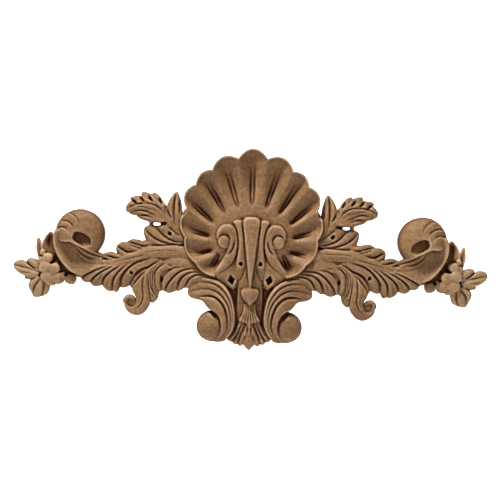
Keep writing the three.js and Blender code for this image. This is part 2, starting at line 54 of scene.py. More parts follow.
# Sizes of the drawing below, in millimetres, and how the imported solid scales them
DRAWN_WIDTH = 470.4
DRAWN_RELIEF = 30.0
MM = 0.001
LOW_CORNER, HIGH_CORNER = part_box(NODE)
PLAN = (HIGH_CORNER[0] - LOW_CORNER[0]) / DRAWN_WIDTH / MM
DEEP = (HIGH_CORNER[1] - LOW_CORNER[1]) / DRAWN_RELIEF / MM

SAMPLE = 0.375  # spacing of the heights that are worked out, mm
EVERY = 2  # one mesh point for this many samples
HALF_REACH = 243.0  # the drawing's half width with a margin
LOWEST, HIGHEST = -105.0, 105.0

ROWS = 40  # steps along a leaf
LINE_ROWS = 60  # steps along an engraved line
SHAPE_ROWS = 200  # steps along a profile
ACROSS = np.linspace(-1, 1, 15)  # places across a leaf, from one edge to the other
TIP_ROWS = (0.25, 0.5, 0.75, 0.9, 1.0)  # steps through a leaf's round tip
TIP_LEAST = 0.03  # how far even the edges of a tip reach, as a share of its half width
TIP_FALL = 0.2  # share of its height that a tip loses
SIDES_FALL = 1.6  # a leaf's sides are down to their last height after 1 / 1.6 of its length
BOSS_STEPS, POCKET_STEPS = 20, 16  # steps across a boss and a pocket
POCKET_CURVE = 2.2  # how far a pocket's floor rises from its middle, mm
POCKET_FLOOR = 0.8  # share of a pocket's radius that is floor
WALL_SPREAD, WALL_RISE = 6.0, 400.0  # how a pocket's wall widens and rises outside the floor
TRENCH_CURVE, TRENCH_WALL = 1.5, 60.0  # how far a trench's floor and its walls rise, mm
TINY = 1e-9  # keeps a division away from zero

surfaces = []  # grids of points, x, z and height, of everything that stands up
cuts = []  # the same for everything that is cut away
engravings = []  # lines cut into the finished surface, with their half width, depth and kind of ends


def smooth_line(points, steps=ROWS):
    """Catmull-Rom curve through points of any number of values."""
    p = np.asarray(points, float)
    if len(p) == 1:
        return np.repeat(p, steps + 1, axis=0)
    p = np.vstack([2 * p[0] - p[1], p, 2 * p[-1] - p[-2]])
    place = np.linspace(0, len(p) - 3, steps + 1)
    k = np.minimum(place.astype(int), len(p) - 4)
    t = (place - k)[:, None]
    a, b, c, d = p[k], p[k + 1], p[k + 2], p[k + 3]
    curve = 2 * b + (c - a) * t + (2 * a - 5 * b + 4 * c - d) * t**2 + (3 * b - a - 3 * c + d) * t**3
    return 0.5 * curve


def along(values):
    """Single values, smoothed over the rows of a leaf."""
    return smooth_line([[value] for value in values])[:, 0]


def smooth_shape(stations, at):
    """A smooth curve through (place, value) stations, read at other places."""
    dense = smooth_line(stations, SHAPE_ROWS)
    return np.interp(at, dense[:, 0], dense[:, 1])


def unit(v):
    return v / np.maximum(np.linalg.norm(v, axis=-1, keepdims=True), TINY)


def between(a, b):
    """Places across the strip between two curves."""
    return a[:, None] + (b - a)[:, None] * ((ACROSS + 1) / 2)[None, :, None]


def raised(at, heights):
    """Places in plan and their heights as one grid of points."""
    return np.concatenate([at, heights[..., None]], axis=2)


def rounded_tip(points, on, half, bulge):
    """Rows that carry a leaf on past its end, in a round tip that falls a little."""
    rows = [points]
    for u in TIP_ROWS:
        row = points[-1].copy()
        row[:, :2] += on * (half * u * (bulge * (1 - ACROSS**2) + TIP_LEAST))[:, None]
        row[:, 2] *= 1 - TIP_FALL * u**2
        rows.append(row[None])
    return np.concatenate(rows, axis=0)


def fan(*curves, heights, bulges=0.4, root=0.95, edge=0.84, hollow=(0, 0), power=2.2, groove=None):
    """Leaf lobes between neighbouring curves, which run from root to tip between one lobe and the next.

    heights are the crests along the lobes, root and edge are the sides' share of them at the root and at
    the tip, and groove is the half width and depth of the line between two lobes.
    """
    lines = [smooth_line(c) for c in curves]
    crest = along(heights)
    reach = bulges if isinstance(bulges, list) else [bulges] * (len(lines) - 1)
    sides = root + (edge - root) * np.minimum(1, SIDES_FALL * np.linspace(0, 1, ROWS + 1))
    round_off = 1 - np.abs(ACROSS) ** power
    h = crest[:, None] * (sides[:, None] + (1 - sides - along(hollow))[:, None] * round_off[None])
    for a, b, bulge in zip(lines, lines[1:], reach):
        points = raised(between(a, b), h)
        if bulge > 0:
            on = unit((a[-1] + b[-1]) - (a[-3] + b[-3]))
            points = rounded_tip(points, on, np.linalg.norm(b[-1] - a[-1]) / 2, bulge)
        surfaces.append(points)
    if groove:
        engravings.extend((inner, *groove, "fade") for inner in lines[1:-1])


def bar(stations, edge=0.84, power=2.4, bulge=0):
    """A bar or a leaf along a line: stations of [x, z, half width, height]."""
    middle = smooth_line(stations)
    on = unit(np.gradient(middle[:, :2], axis=0))
    off = np.stack([-on[:, 1], on[:, 0]], axis=1) * middle[:, 2:3]
    at = middle[:, None, :2] - off[:, None] * ACROSS[None, :, None]
    points = raised(at, middle[:, 3][:, None] * (edge + (1 - edge) * (1 - np.abs(ACROSS) ** power))[None])
    if bulge > 0:
        points = rounded_tip(points, on[-1], middle[-1, 2], bulge)
    surfaces.append(points)


def square_grid(steps):
    """The points of the square from -1 to 1."""
    at = np.linspace(-1, 1, steps + 1)
    return np.meshgrid(at, at, indexing="ij")


def rounded(a, b):
    """The points of a square grid drawn in to the unit disc."""
    return a * np.sqrt(1 - b**2 / 2), b * np.sqrt(1 - a**2 / 2)


def placed(x, z, px, pz, turn, height):
    """Points round a middle, turned about it and set down at x and z."""
    at_x = x + px * math.cos(turn) - pz * math.sin(turn)
    at_z = z + px * math.sin(turn) + pz * math.cos(turn)
    return np.stack([at_x, at_z, height], axis=2)


def boss(x, z, rx, rz, h, rim=0.5, turn=0.0, square=0.0):
    """An oval boss whose edge keeps a share of its height; square pulls its outline toward a block."""
    a, b = square_grid(BOSS_STEPS)
    p, q = rounded(a, b)
    p, q = p + (a - p) * square, q + (b - q) * square
    height = h * (rim + (1 - rim) * np.sqrt(np.maximum(0, 1 - p**2 - q**2)))
    surfaces.append(placed(x, z, p * rx, q * rz, turn, height))


def pocket(x, z, rx, rz, floor, turn=0.0, corners=False):
    """A pocket with steep sides and a round bottom, oval or with four corners on its axes."""
    a, b = square_grid(POCKET_STEPS)
    p, q = ((a + b) / 2, (b - a) / 2) if corners else rounded(a, b)
    r = np.abs(p) + np.abs(q) if corners else np.hypot(p, q)
    wall = np.clip(r - POCKET_FLOOR, 0, 1)
    grow = 1.0 + WALL_SPREAD * wall
    height = floor + POCKET_CURVE * r**2 + WALL_RISE * wall
    cuts.append(placed(x, z, p * rx * grow, q * rz * grow, turn, height))


def trench(one, other, floors, tilt):
    """A cut between two curves, its floor at floors along them and raised by tilt toward the other."""
    across = TRENCH_CURVE * ACROSS**2 + tilt * ACROSS
    across[[0, -1]] += TRENCH_WALL
    at = between(smooth_line(one), smooth_line(other))
    cuts.append(raised(at, along(floors)[:, None] + across[None]))


def line(points, width, depth, ends="fade"):
    """A V line cut into whatever surface it crosses; width is half of the line's."""
    engravings.append((smooth_line(points, LINE_ROWS), width, depth, ends))


SHELL = {
    "cusps": [(14.5, 90), (40, 78.5), (56, 63.5), (65, 40), (66, 11), (55, -14), (36, -27)],
    "bulges": [10.5, 8, 5, 6.8, 5.7, 4.3, 3],
    "roots": [(0, 25), (8.4, 24), (16.4, 19.6), (22.4, 13), (24, 8.4), (23, 3), (20, -3)],
    "profile": [(0.0, 20.4), (0.14, 19.8), (0.26, 18.4), (0.38, 16.4), (0.52, 15.4), (0.7, 16.8),
                (0.88, 19.6), (1.0, 21.6)],
    "flute": [(0.0, 0.0), (0.2, 0.1), (0.34, 1.6), (0.5, 4.4), (0.7, 5.6), (0.86, 5.0), (1.0, 2.4)],
}
LOBE_STEPS = 26  # steps round each lobe of the rim
RINGS = np.concatenate([np.linspace(0, 0.9, 46), np.linspace(0.905, 1.0, 20)])  # closer at the rim
LOBE_POWER = 0.75  # below 1 the lobes are fuller than a sine
LIP_RISE, LIP_PLACE, LIP_WIDTH = 2.3, 1.2, 0.8  # a raised lip, this far in from the rim, mm
ROUND_DROP, ROUND_WIDTH = 1.2, 0.6  # and the rim's rounded edge, mm


def shell():
    """Lobes between cusps on the rim, each with a flute that runs down to its own root."""
    cusps = np.array(SHELL["cusps"], float)
    roots = np.array(SHELL["roots"], float)
    count = len(cusps)
    q = np.linspace(0, count - 0.5 - TINY, int((count - 0.5) * LOBE_STEPS) + 1)
    index = np.rint(q).astype(int)
    outer = cusps[index]
    inner = np.where(index[:, None] == 0, cusps[0] * [-1, 1], cusps[np.maximum(index - 1, 0)])
    t = (q - index) + 0.5
    way = outer - inner
    out = np.array(SHELL["bulges"])[index] * np.sin(np.pi * t) ** LOBE_POWER / np.linalg.norm(way, axis=1)
    rim = inner + way * t[:, None] + np.stack([-way[:, 1], way[:, 0]], axis=1) * out[:, None]
    low = np.minimum(np.floor(np.minimum(q, count - 1)).astype(int), count - 2)
    root = roots[low] + (roots[low + 1] - roots[low]) * (q - low)[:, None]
    length = np.linalg.norm(rim - root, axis=1)
    at = root[:, None] + (rim - root)[:, None] * RINGS[None, :, None]
    scoop = np.cos(np.pi * (q - index)) ** 2
    flute = smooth_shape(SHELL["flute"], RINGS)[None] * scoop[:, None]
    h = smooth_shape(SHELL["profile"], RINGS)[None] - flute
    from_edge = (1 - RINGS)[None] * length[:, None]
    h = h + LIP_RISE * np.exp(-(((from_edge - LIP_PLACE) / LIP_WIDTH) ** 2))
    h = h - ROUND_DROP * np.exp(-((from_edge / ROUND_WIDTH) ** 2))
    surfaces.append(raised(at, h))


# In each flute two dark slots lie beside a thin ridge: from, to, half spread at the outer end and inside
SLOTS = [
    ((0, 43), (0, 86), 1.8, 1.6),
    ((13.4, 40), (25.8, 80), 1.8, 1.5),
    ((26, 34.6), (45.6, 67), 1.8, 1.4),
    ((37.4, 25.6), (60.4, 46), 1.7, 1.3),
    ((40.6, 12.6), (61.6, 18.2), 1.5, 1.3),
    ((38.2, -0.8), (56, -6), 1.2, 1.0),
    ((31.5, -3.6), (39, -18.8), 1.5, 1.2),
]
# A slot's way along its flute: share of the length, shares of the inner and of the outer spread
SLOT_PATH = [(0.0, 0.35, 0.0), (0.3, 0.9, 0.0), (0.65, 0.0, 1.0), (1.0, 0.0, 1.1)]
SLOT_BED = (4.4, 2.4)  # half width and depth of the channel that holds the slots
SLOT_CUT = (1.9, 6.4)  # and of each slot


def slots():
    for start, end, wide, narrow in SLOTS:
        start, end = np.array(start, float), np.array(end, float)
        on = unit(end - start)
        off = np.array([-on[1], on[0]])
        line([start, end], *SLOT_BED, "out")
        for way in (-1, 1):
            path = [
                start + (end - start) * share + off * way * (narrow * inside + wide * outside)
                for share, inside, outside in SLOT_PATH
            ]
            line(path, *SLOT_CUT, "out")


def keystone():
    bar([[0, 32.6, 2.6, 26.6], [0, 31.6, 6, 27.8], [0, 29, 8, 28.8], [0, 25, 8.5, 29.2],
         [0, 12, 6.8, 29.6], [0, -6, 4.6, 28.4], [0, -22, 2.8, 25.5], [0, -38, 1.1, 21.5]],
        edge=0.955, power=3)
    fan([[13.6, -31], [14.6, -22], [14.2, -12], [12.7, 0], [12.9, 12], [15, 21], [18.4, 27.2]],
        [[6.6, -25], [4.8, -16], [5, -6], [6.4, 4], [7.6, 14], [8.8, 22], [9.2, 28.4]],
        heights=[18, 21.5, 24, 25.8, 26.8, 27, 26.4], bulges=0.42, root=0.9, edge=0.94, power=2.6)
    # The plain body under the volute, and the facets beside the tongue's point
    fan([[13.8, -8], [14.4, -18], [14, -27], [13.4, -34], [16.2, -39]],
        [[25, -12], [31, -20], [34, -27], [26.4, -33.4], [17.4, -39.6]],
        heights=[20, 20.6, 20.2, 18.6, 15.6], bulges=0.2, root=0.92, edge=0.93, power=2.4)
    bar([[4, 10, 3, 23], [4.2, -8, 3.2, 22], [4.8, -18, 3.6, 20.8], [6.4, -28, 4.6, 19.4],
         [7.4, -37.6, 4.2, 17.6]], edge=0.94, power=1.6, bulge=0.3)
    bar([[37.4, -26.8, 2, 18.2], [31.8, -21.8, 3.2, 20.8], [26, -15, 4.2, 22.4], [21, -7, 4.8, 23.8],
         [18, 2.4, 4.8, 25], [18, 11.6, 4.8, 25.8], [20.6, 18.8, 5, 26.2],
         [26.2, 20.2, 4.6, 26], [31, 16.6, 3.2, 25.2], [32.8, 10.6, 1.6, 24.6]],
        edge=0.92, power=2.6, bulge=0.4)
    boss(26, 9.8, 7.2, 8.6, 23.8, rim=0.97)
    boss(27.4, 7.9, 5.6, 5.8, 26.4, rim=0.9)
    pocket(9.6, -13.8, 2.1, 2.4, 13)
    pocket(18.8, -30, 4, 6, 8, turn=-0.2, corners=True)
    line([[9.3, 30.6], [7.4, 12], [4.9, -8], [3.1, -24], [1.5, -38]], 0.85, 2.6, "root")
    line([[19.4, 27.4], [15.4, 21], [12.9, 11], [12.6, 0], [14, -6], [16.5, -11], [21, -17], [27, -21.4],
          [35, -26.6]], 0.8, 2.6)
    line([[13, -5], [13.6, -14], [14.5, -23]], 0.5, 1.2)
    line([[16.2, 10.4], [17, 4.4], [19.2, -1.2], [23.2, -5.8]], 1.35, 4.6)
    # The eye's spiral, deepest over its inner side
    line([[25.6, 1.6], [22.2, 4.6], [21.2, 9], [22.8, 13.2], [26.6, 14.8], [30.6, 13.4], [33, 9.4],
          [32.8, 5.2]], 0.9, 2.8)
    line([[21.6, 6.4], [21.4, 10.8], [24, 14.2], [28.4, 14.6]], 1.3, 3.4)
    line([[30.4, 0.6], [27.4, -4.4], [26.8, -10]], 0.6, 1.2)
    line([[24, 24], [20.8, 19.6], [17.2, 13], [16.4, 6]], 0.6, 1.4)
    line([[4.8, -12], [5.8, -19], [7.6, -25], [10.2, -30], [14.4, -36]], 1, 3)
    line([[24.4, -8.6], [28.6, -16], [34, -21.6], [39, -25.4]], 0.5, 1.2)


RAY_ROOT, RAY_MIDDLE = 0.9, 1.08  # a husk's rays are this share of their gap apart at the top and half way
RAY_SPLAY = 0.4  # how far the tips splay, mm


def rays(reach, top, foot, drop, gap, grow):
    """Curves between a husk's rays, from its top down to its foot, which climbs toward the sides."""
    curves = []
    for n in range(2 * reach + 2):
        i = n - reach - 0.5
        tip = [i * gap * grow + math.copysign(RAY_SPLAY, i), foot + abs(i) * drop]
        curves.append([[i * gap * RAY_ROOT, top], [i * gap * RAY_MIDDLE, (top + foot) / 2], tip])
    return curves


def column():
    """The column under the keystone, with its bud and husks."""
    bar([[0, -18, 9.6, 19.5], [0, -38, 12.4, 17], [0, -52, 12.6, 14.5], [0, -64, 12.2, 13.5],
         [0, -76, 10.4, 12.5]], edge=0.9)
    bar([[0, -24, 6, 20.5], [0, -32, 8.6, 19.4], [0, -40, 8.4, 18.4]], edge=0.86, power=1.6)
    # The bud, a shield with a broad top and a soft point
    bar([[0, -37.6, 1, 20.6], [0, -38.3, 5.6, 21.8], [0, -39.7, 8, 22.8], [0, -42.4, 8.9, 23.8],
         [0, -46, 8, 24], [0, -49.6, 5.8, 23.4], [0, -52.6, 3, 22.2], [0, -54.4, 0.8, 21]], power=1.8)
    fan(*rays(3, -53, -72.6, 0.9, 1.75, 1.62),
        heights=[17.5, 19.6, 18.6], bulges=1, root=0.9, edge=0.86, groove=(0.6, 2.2))
    bar([[0, -70, 2.2, 19], [0, -75, 2.4, 18.2], [0, -78.6, 1.4, 16.6]], bulge=1)
    fan(*rays(1, -74, -85, 0.8, 3, 1.25),
        heights=[14.5, 16, 16], bulges=0.9, root=0.86, groove=(0.6, 2))
    bar([[0, -81, 4.6, 15.2], [0, -89, 6.6, 15.6], [0, -94.6, 5.2, 13], [0, -98, 2.2, 10.6]],
        edge=0.76, power=2, bulge=0.8)
    line([[0, -84], [0, -90.5]], 0.6, 1.6)
    line([[3.2, -84], [4.8, -92]], 0.9, 2.6)
    fan([[1, -76], [4, -86], [5.8, -94.4]],
        [[4.6, -74], [8.4, -85], [11.2, -93.6]],
        [[7, -72], [11.4, -83], [16.4, -91.6]],
        [[9, -70], [14, -79], [21.6, -88]],
        heights=[13.5, 13.8, 11], bulges=[0.7, 0.6, 0.5], root=0.97, edge=0.74, groove=(1, 3.8))
    line([[8, -78], [10.4, -86], [13, -90]], 0.9, 3.4)
    line([[11.6, -75], [14.4, -82], [18.4, -87]], 1.1, 3.8)


def lower_scroll():
    """The C-scroll leaf beside the column, and the ball that it rolls round."""
    boss(37, -76.3, 15.4, 15.4, 21, rim=0.45)
    fan([[24, -90.8], [16.6, -81], [14.2, -70], [15.2, -58], [18.2, -47], [23, -38.4], [29.6, -32.6],
         [38, -29.4], [48, -28.6], [56, -31], [60.4, -36]],
        [[26, -91.4], [18.6, -81], [16, -71], [17, -60.5], [19.6, -51], [24, -43.5], [29.5, -37.8],
         [37, -33.8], [46, -32], [54.6, -33.4], [61.2, -39.4]],
        [[28.4, -92], [20.8, -82], [18.4, -72], [19.2, -63], [21.6, -55.2], [25.6, -49], [30.6, -43.9],
         [36.6, -40.7], [44, -39.3], [52.6, -40.4], [61.4, -43.6]],
        [[31.4, -92.2], [24, -83], [21.4, -75], [22.2, -67], [24.4, -59.4], [27.8, -53.4], [32.4, -49],
         [37.6, -46.6], [44, -46.2], [51.6, -47.4], [60, -47.6]],
        [[38, -91.2], [31, -86.4], [29, -79], [29.2, -73], [30.4, -68.4], [32.6, -64.6], [36, -61.6],
         [40, -59.6], [43.6, -56], [47.4, -51.6], [56, -49.8]],
        heights=[15, 19.4, 22.2, 24, 24.2, 23.8, 22.4, 20.4, 18, 15.4, 12.5], bulges=[0.4, 0.5, 0.5, 0.3],
        root=0.88, edge=0.88, power=2.6)
    line([[19, -84], [16.4, -72], [17, -60.5], [19.8, -51], [24.4, -43.5], [29.8, -38], [37.4, -34.2],
          [46.4, -33], [55, -35.2]], 0.8, 2.4)
    line([[21.4, -86], [18.6, -75], [19.2, -63], [21.6, -55.2], [25.6, -49], [30.6, -43.9], [36.6, -40.7],
          [44, -39.6], [53, -40.8]], 0.8, 2.2)
    line([[23.6, -86], [21.4, -76], [22, -68], [23.9, -61], [26.4, -55.6], [30, -51], [34.6, -47.6],
          [40, -46.2], [46, -46.8], [52, -47.8]], 1.5, 4.4)
    line([[30.4, -86], [28.6, -79], [29, -73], [30.6, -68], [33.2, -64], [37.6, -61]], 1.3, 5)
    line([[44.6, -51.6], [49, -49.8], [54.6, -48.8]], 1, 2.8)
    line([[43, -60.6], [38.8, -62.2], [35, -65.6], [32.4, -70]], 2, 5)


def wing():
    fan([[60, 1.6], [66, 1.9], [80, 2.6], [95, 1.6], [108, -1.4], [120, -5.2], [130, -9.4], [140, -12.8],
         [152, -13]],
        [[60, -11], [66, -10], [80, -9.4], [93, -10], [105, -12.8], [117, -17], [129, -20], [140, -21.4],
         [152, -22]],
        heights=[16, 18.4, 19.4, 19.2, 18.6, 18, 17, 16, 14.5], bulges=0, root=0.9, edge=0.86)
    line([[66, -3.6], [80, -2.6], [95, -3.2], [107, -6.4]], 0.7, 1.5)
    line([[68, -1], [82, 0], [97, -0.8], [110, -4.4]], 0.5, 0.9)
    line([[98, -6], [113, -9.4], [130, -14], [150, -19]], 0.8, 1.9)
    line([[118, -9], [132, -13], [146, -16.4]], 0.5, 1)
    fan([[58, -8], [66, -8.6], [76, -8.8], [86, -11]],
        [[52, -21], [60, -20.4], [70, -20.4], [80, -21]],
        heights=[14, 17.2, 18, 17], bulges=0, root=0.94, edge=0.94, power=2.4)
    # Lobes that sweep down along the wing's lower edge
    fan([[146, -17.5], [155, -20], [163, -23], [170, -25.6], [176, -28]],
        [[143, -18.6], [151, -21.6], [158, -25], [164.4, -28.8], [168.4, -31.6]],
        [[137, -18.8], [144.5, -22], [151, -26.4], [156, -31.4], [159.2, -36]],
        [[128, -17.6], [135, -21], [141, -25.8], [145.6, -31.4], [147.4, -38]],
        [[120, -15], [129.6, -22], [134.4, -28.6], [136.6, -35.4], [137, -43.6]],
        [[98, -9.6], [112, -13.8], [122, -20.6], [128.2, -29], [129.4, -39.6]],
        [[88, -11.4], [97, -16.4], [107, -21.6], [114.6, -28], [119.6, -37.6]],
        heights=[17.4, 17.2, 16.4, 14.6, 11.5], bulges=[0.3, 0.45, 0.5, 0.5, 0.75, 0.35, 0.4], root=0.97,
        edge=0.78, power=2.8, groove=(1.2, 3.4))
    fan([[88, -11.4], [97, -16.4], [107, -21.6], [114.6, -28], [119.6, -37.6]],
        [[92, -16], [100, -21.4], [107.6, -26.6], [112.6, -33.4], [117.4, -41]],
        heights=[16.6, 16, 15, 13.4, 11], bulges=0.2, edge=0.8, power=2.4)
    # Secondary lines inside the broad lobes
    line([[131, -33.4], [127.6, -27.4], [122.6, -21.4], [116, -16.4], [108, -12.9], [99, -10.2]],
         1.2, 3.6)
    line([[117, -31], [114, -26], [108, -21.5], [101, -19.2], [96, -15.5], [90, -12]], 1.3, 4)
    line([[116.5, -39], [113.5, -34], [110, -30], [107.5, -26.5]], 0.8, 2.2)
    line([[166, -29], [158, -24.6], [151, -21.5], [146, -20]], 1.1, 2.8)
    line([[157.6, -33.4], [149.6, -25.6], [143, -21.5]], 1.2, 3.2)
    line([[147, -34], [142.6, -27], [137, -22.5], [131.6, -19.4]], 1.2, 3.2)
    line([[137.2, -39], [136.2, -33], [133.5, -27], [129.5, -22.6]], 1.2, 3.4)
    line([[152, -35.4], [149.4, -30.4], [145.4, -26]], 0.8, 1.8)
    line([[143, -41.6], [142.6, -36.6], [140, -31.6]], 0.8, 1.8)
    line([[163.6, -31.6], [157.4, -27.6], [152, -24.6]], 0.7, 1.6)
    # Lobes over the rib
    fan([[130, -8.6], [136, -6.4], [142, -4.9], [148.6, -7]],
        [[130, -11], [136, -11], [141, -9.8], [149, -8.8]],
        [[130, -12.4], [137, -13.4], [144, -12.8], [150, -10.6]],
        heights=[15.4, 14.6, 13.6, 12], bulges=[0.4, 0.3], edge=0.82, groove=(0.9, 2.4))
    fan([[109, 2], [116, 3.6], [123, 5], [129.6, 4.8], [134.6, 2.2]],
        [[111, -2.6], [118, -4.6], [124, -4.4], [129, -2], [135, 0.8]],
        [[112, -6], [119, -8.6], [125, -10.6], [130, -10.4], [134.6, -6.6]],
        heights=[16.4, 15.4, 14.4, 13, 11], bulges=[0.5, 0.4], edge=0.82, groove=(1.1, 3))
    fan([[97, 4], [105, 5.8], [112, 7.6], [118, 8.2], [123, 6.2]],
        [[99, 2.4], [106, 1.4], [112, 2.2], [118, 4], [124, 4.8]],
        [[100, 0], [107, -2], [113, -2], [119, 0], [124, 3.4]],
        heights=[16.4, 15.6, 14.4, 13, 11.4], bulges=[0.5, 0.4], edge=0.82, groove=(1.1, 3))
    line([[145.6, -8.5], [142, -10], [137, -11], [131, -10.8]], 0.9, 2.4)
    line([[132, 0], [128, -3], [124, -5], [119, -6]], 1, 2.8)
    line([[122.6, 4], [118, 1.5], [112, -0.3], [107, -1]], 1, 2.8)


def hooked_leaf():
    fan([[97, -18], [106, -25.4], [111.4, -31.6], [115.4, -37.4], [117.4, -42.4], [116.2, -48],
         [115.4, -53.4], [117.6, -58.4], [121.4, -58.8], [124, -56], [123.4, -52.4]],
        [[98, -21], [101.4, -27], [101, -33.8], [100.6, -41], [99.8, -48.4], [99.6, -56.4],
         [104.6, -63.6], [113.4, -67.8], [121.6, -65.4], [126.8, -59], [126.4, -52]],
        heights=[17, 16.6, 16.2, 15.8, 15.4, 15, 14.6, 14.4, 14, 13.6, 13], bulges=0.9, root=0.92,
        edge=0.86, power=2.4)
    # The tip that curls back over its own eye
    bar([[126.4, -55.6, 2.2, 14], [126, -51.6, 2.1, 14.2], [123.2, -49.2, 2, 14.2],
         [119.6, -49.6, 1.8, 13.6], [117, -51.8, 1.2, 12.6]], bulge=0.6)
    boss(120, -54.2, 5.4, 4.6, 11.4, rim=0.8)
    line([[102, -21], [105, -26], [106.5, -33], [106.7, -40], [107.5, -48], [109.5, -54.5], [114, -60.5],
          [119.4, -63]], 1, 3)
    line([[101, -24], [101, -33], [100.5, -40], [99.5, -47], [98.5, -52]], 1, 3)
    line([[112.4, -36], [112.2, -44], [111.6, -51], [113.8, -57]], 0.6, 1.4)


def turning_bands():
    fan([[99.6, -19], [101.4, -27], [101.2, -34], [100.6, -41], [99.8, -48], [98.4, -55]],
        [[90, -12.6], [97.4, -19.6], [99.2, -27], [99, -34], [97.6, -41], [91.4, -49]],
        [[86, -13], [94.6, -18.8], [97, -26], [97, -33], [96, -39], [91, -45.6]],
        [[84, -14.4], [92.2, -19.8], [94.8, -26.6], [95, -33], [94, -38.6], [90.4, -43.6]],
        [[78, -19.4], [84.6, -21.6], [88.6, -26.6], [89.4, -32.6], [89, -38], [88, -42.6]],
        heights=[17.8, 17.4, 16.6, 15.4, 14, 11.5], bulges=[0.35, 0.3, 0.3, 0.3], root=0.94, power=2.6,
        groove=(0.7, 2.4))
    line([[84, -14.5], [88, -16.5], [92, -20], [95, -24], [96.4, -29], [96, -37]], 1, 3.2)
    line([[94.6, -44.6], [97.6, -40.6], [98.8, -35]], 0.9, 2.4)
    line([[95.6, -50], [98.2, -45.4]], 0.9, 2.2)


def inner_lobes():
    fan([[60, -17.4], [66, -17.8], [73, -19], [81, -22.4], [86.6, -29], [88, -36], [87.6, -42]],
        [[54, -19.6], [60, -20], [68, -22], [74.6, -26.6], [80, -32.8], [83.6, -38.4], [85.2, -42.8]],
        [[50, -22.8], [56, -23.2], [61.6, -24.4], [66, -27], [69.6, -31.4], [71.8, -36.4], [73.4, -42]],
        [[46, -25.4], [51, -25.6], [55.6, -26.8], [59.4, -29], [62, -32.4], [64, -36], [65.4, -39]],
        [[41, -29.4], [46, -29.6], [51.6, -30], [55.4, -31.4], [58, -33.8], [60, -36.6], [61.4, -38.6]],
        heights=[15, 17, 17.6, 17, 15.6, 13.8, 11.2], bulges=[0.3, 0.4, 0.4, 0.3], root=0.96, edge=0.8,
        power=2.8, groove=(1.2, 3.6))
    line([[63, -18.5], [75, -19], [79, -21], [84, -24.4]], 0.9, 2.4)
    line([[65, -24.5], [69, -29], [71.5, -34], [72, -38]], 1.1, 3.2)
    line([[77.6, -40], [76.6, -35.6], [73.6, -31]], 0.8, 2)
    line([[66.8, -36.6], [66, -32.6], [63.4, -29]], 0.7, 1.8)
    pocket(118.4, -25.4, 2.5, 3.1, 9, turn=-0.6, corners=True)
    pocket(88, -30.6, 2.2, 4.4, 7, turn=-0.1, corners=True)
    line([[76.6, -16.4], [79.4, -17.2], [82.4, -16.6]], 0.9, 1.8)


BALL = {"x": 172.3, "z": 12, "radius": 24.8, "height": 26, "rim": 0.42}
BALL_REACH, BALL_STEP = 26, 0.5  # the grid that the ball's height is worked out on, mm

# Arcs over the roll, each with a step down outside it: centre, radius, raised by
ROLL_STEPS = [(186.8, 16.4, 16.4, 1), (188.4, 13.4, 11.4, 1.2), (189.6, 10.6, 7.4, 1.4)]
ROLL_TOWARD, ROLL_SPREAD = 2, 1.1  # the direction that the steps face and how far round they go, radians
ROLL_FADE = 4.5  # how far inside its arc a step dies away, mm
CURL = {"x": 184.6, "z": 9.6, "long": 7.6, "high": 5.4, "rise": 3.0}  # the soft curl that closes the mouth

# The trumpet's rim, the edge of its throat, its outer edge, and what it takes away of the ball
TRUMPET_RIM = [[150, -20.4], [160, -24], [168, -26], [175.4, -25.2], [182, -21.6], [187.4, -16.2],
               [192, -9.2], [195, -1.8], [196, 5], [195, 11], [192.6, 15.6]]
TRUMPET_INNER = [[150, -11.4], [157, -9.2], [163.6, -6.2], [169.4, -3], [174.6, 0.2], [178.8, 3.8],
                 [181.4, 7.4], [183, 10.4], [184.6, 13], [187.4, 15.6]]
TRUMPET_OUTER = [[150, -22], [160, -26], [168, -28], [176.4, -27.2], [183.4, -23.4], [189.2, -17.6],
                 [194.2, -10], [197.6, -2], [198.6, 5], [197.6, 12], [195.2, 17.6]]
TRUMPET_OPENING = [[158, -34], [158, -8.2], [163.6, -5], [169.4, -2.2], [174.6, 0.6], [178.4, 2.6],
                   [182, 3.6], [186.6, 3.4], [191, 4.2], [194.6, 6.6], [197, 10.4], [206, 8], [200, -20],
                   [186, -34]]


def ball_height(x, z):
    """The ball with the steps of the roll and the soft curl that closes it over the mouth."""
    out = np.minimum(1, np.hypot(x - BALL["x"], z - BALL["z"]) / BALL["radius"])
    h = BALL["height"] * (BALL["rim"] + (1 - BALL["rim"]) * np.sqrt(1 - out**2))
    for at_x, at_z, radius, rise in ROLL_STEPS:
        inward = radius - np.hypot(x - at_x, z - at_z)
        turn = np.arctan2(z - at_z, x - at_x)
        window = np.exp(-(((turn - ROLL_TOWARD) / ROLL_SPREAD) ** 4))
        h = h + rise * window * np.where(inward > 0, np.exp(-np.maximum(inward, 0) / ROLL_FADE), 0)
    from_curl = ((x - CURL["x"]) / CURL["long"]) ** 2 + ((z - CURL["z"]) / CURL["high"]) ** 2
    return h + CURL["rise"] * np.exp(-from_curl)


def inside_shape(x, z, corners):
    """Which points lie inside a closed outline."""
    c = np.asarray(corners, float)
    inside = np.zeros(x.shape, bool)
    for (x0, z0), (x1, z1) in zip(c, np.roll(c, -1, axis=0)):
        crosses = (z0 > z) != (z1 > z)
        inside ^= crosses & (x < (x1 - x0) * (z - z0) / (z1 - z0 + TINY) + x0)
    return inside


def ball_with_mouth():
    """The ball's points on a grid, and which of them stay where the trumpet opens into it."""
    steps = np.arange(-BALL_REACH, BALL_REACH + BALL_STEP / 2, BALL_STEP)
    x, z = np.meshgrid(BALL["x"] + steps, BALL["z"] + steps, indexing="ij")
    stays = np.hypot(x - BALL["x"], z - BALL["z"]) < BALL["radius"]
    stays &= ~inside_shape(x, z, TRUMPET_OPENING)
    return np.stack([x, z, ball_height(x, z)], axis=2), stays


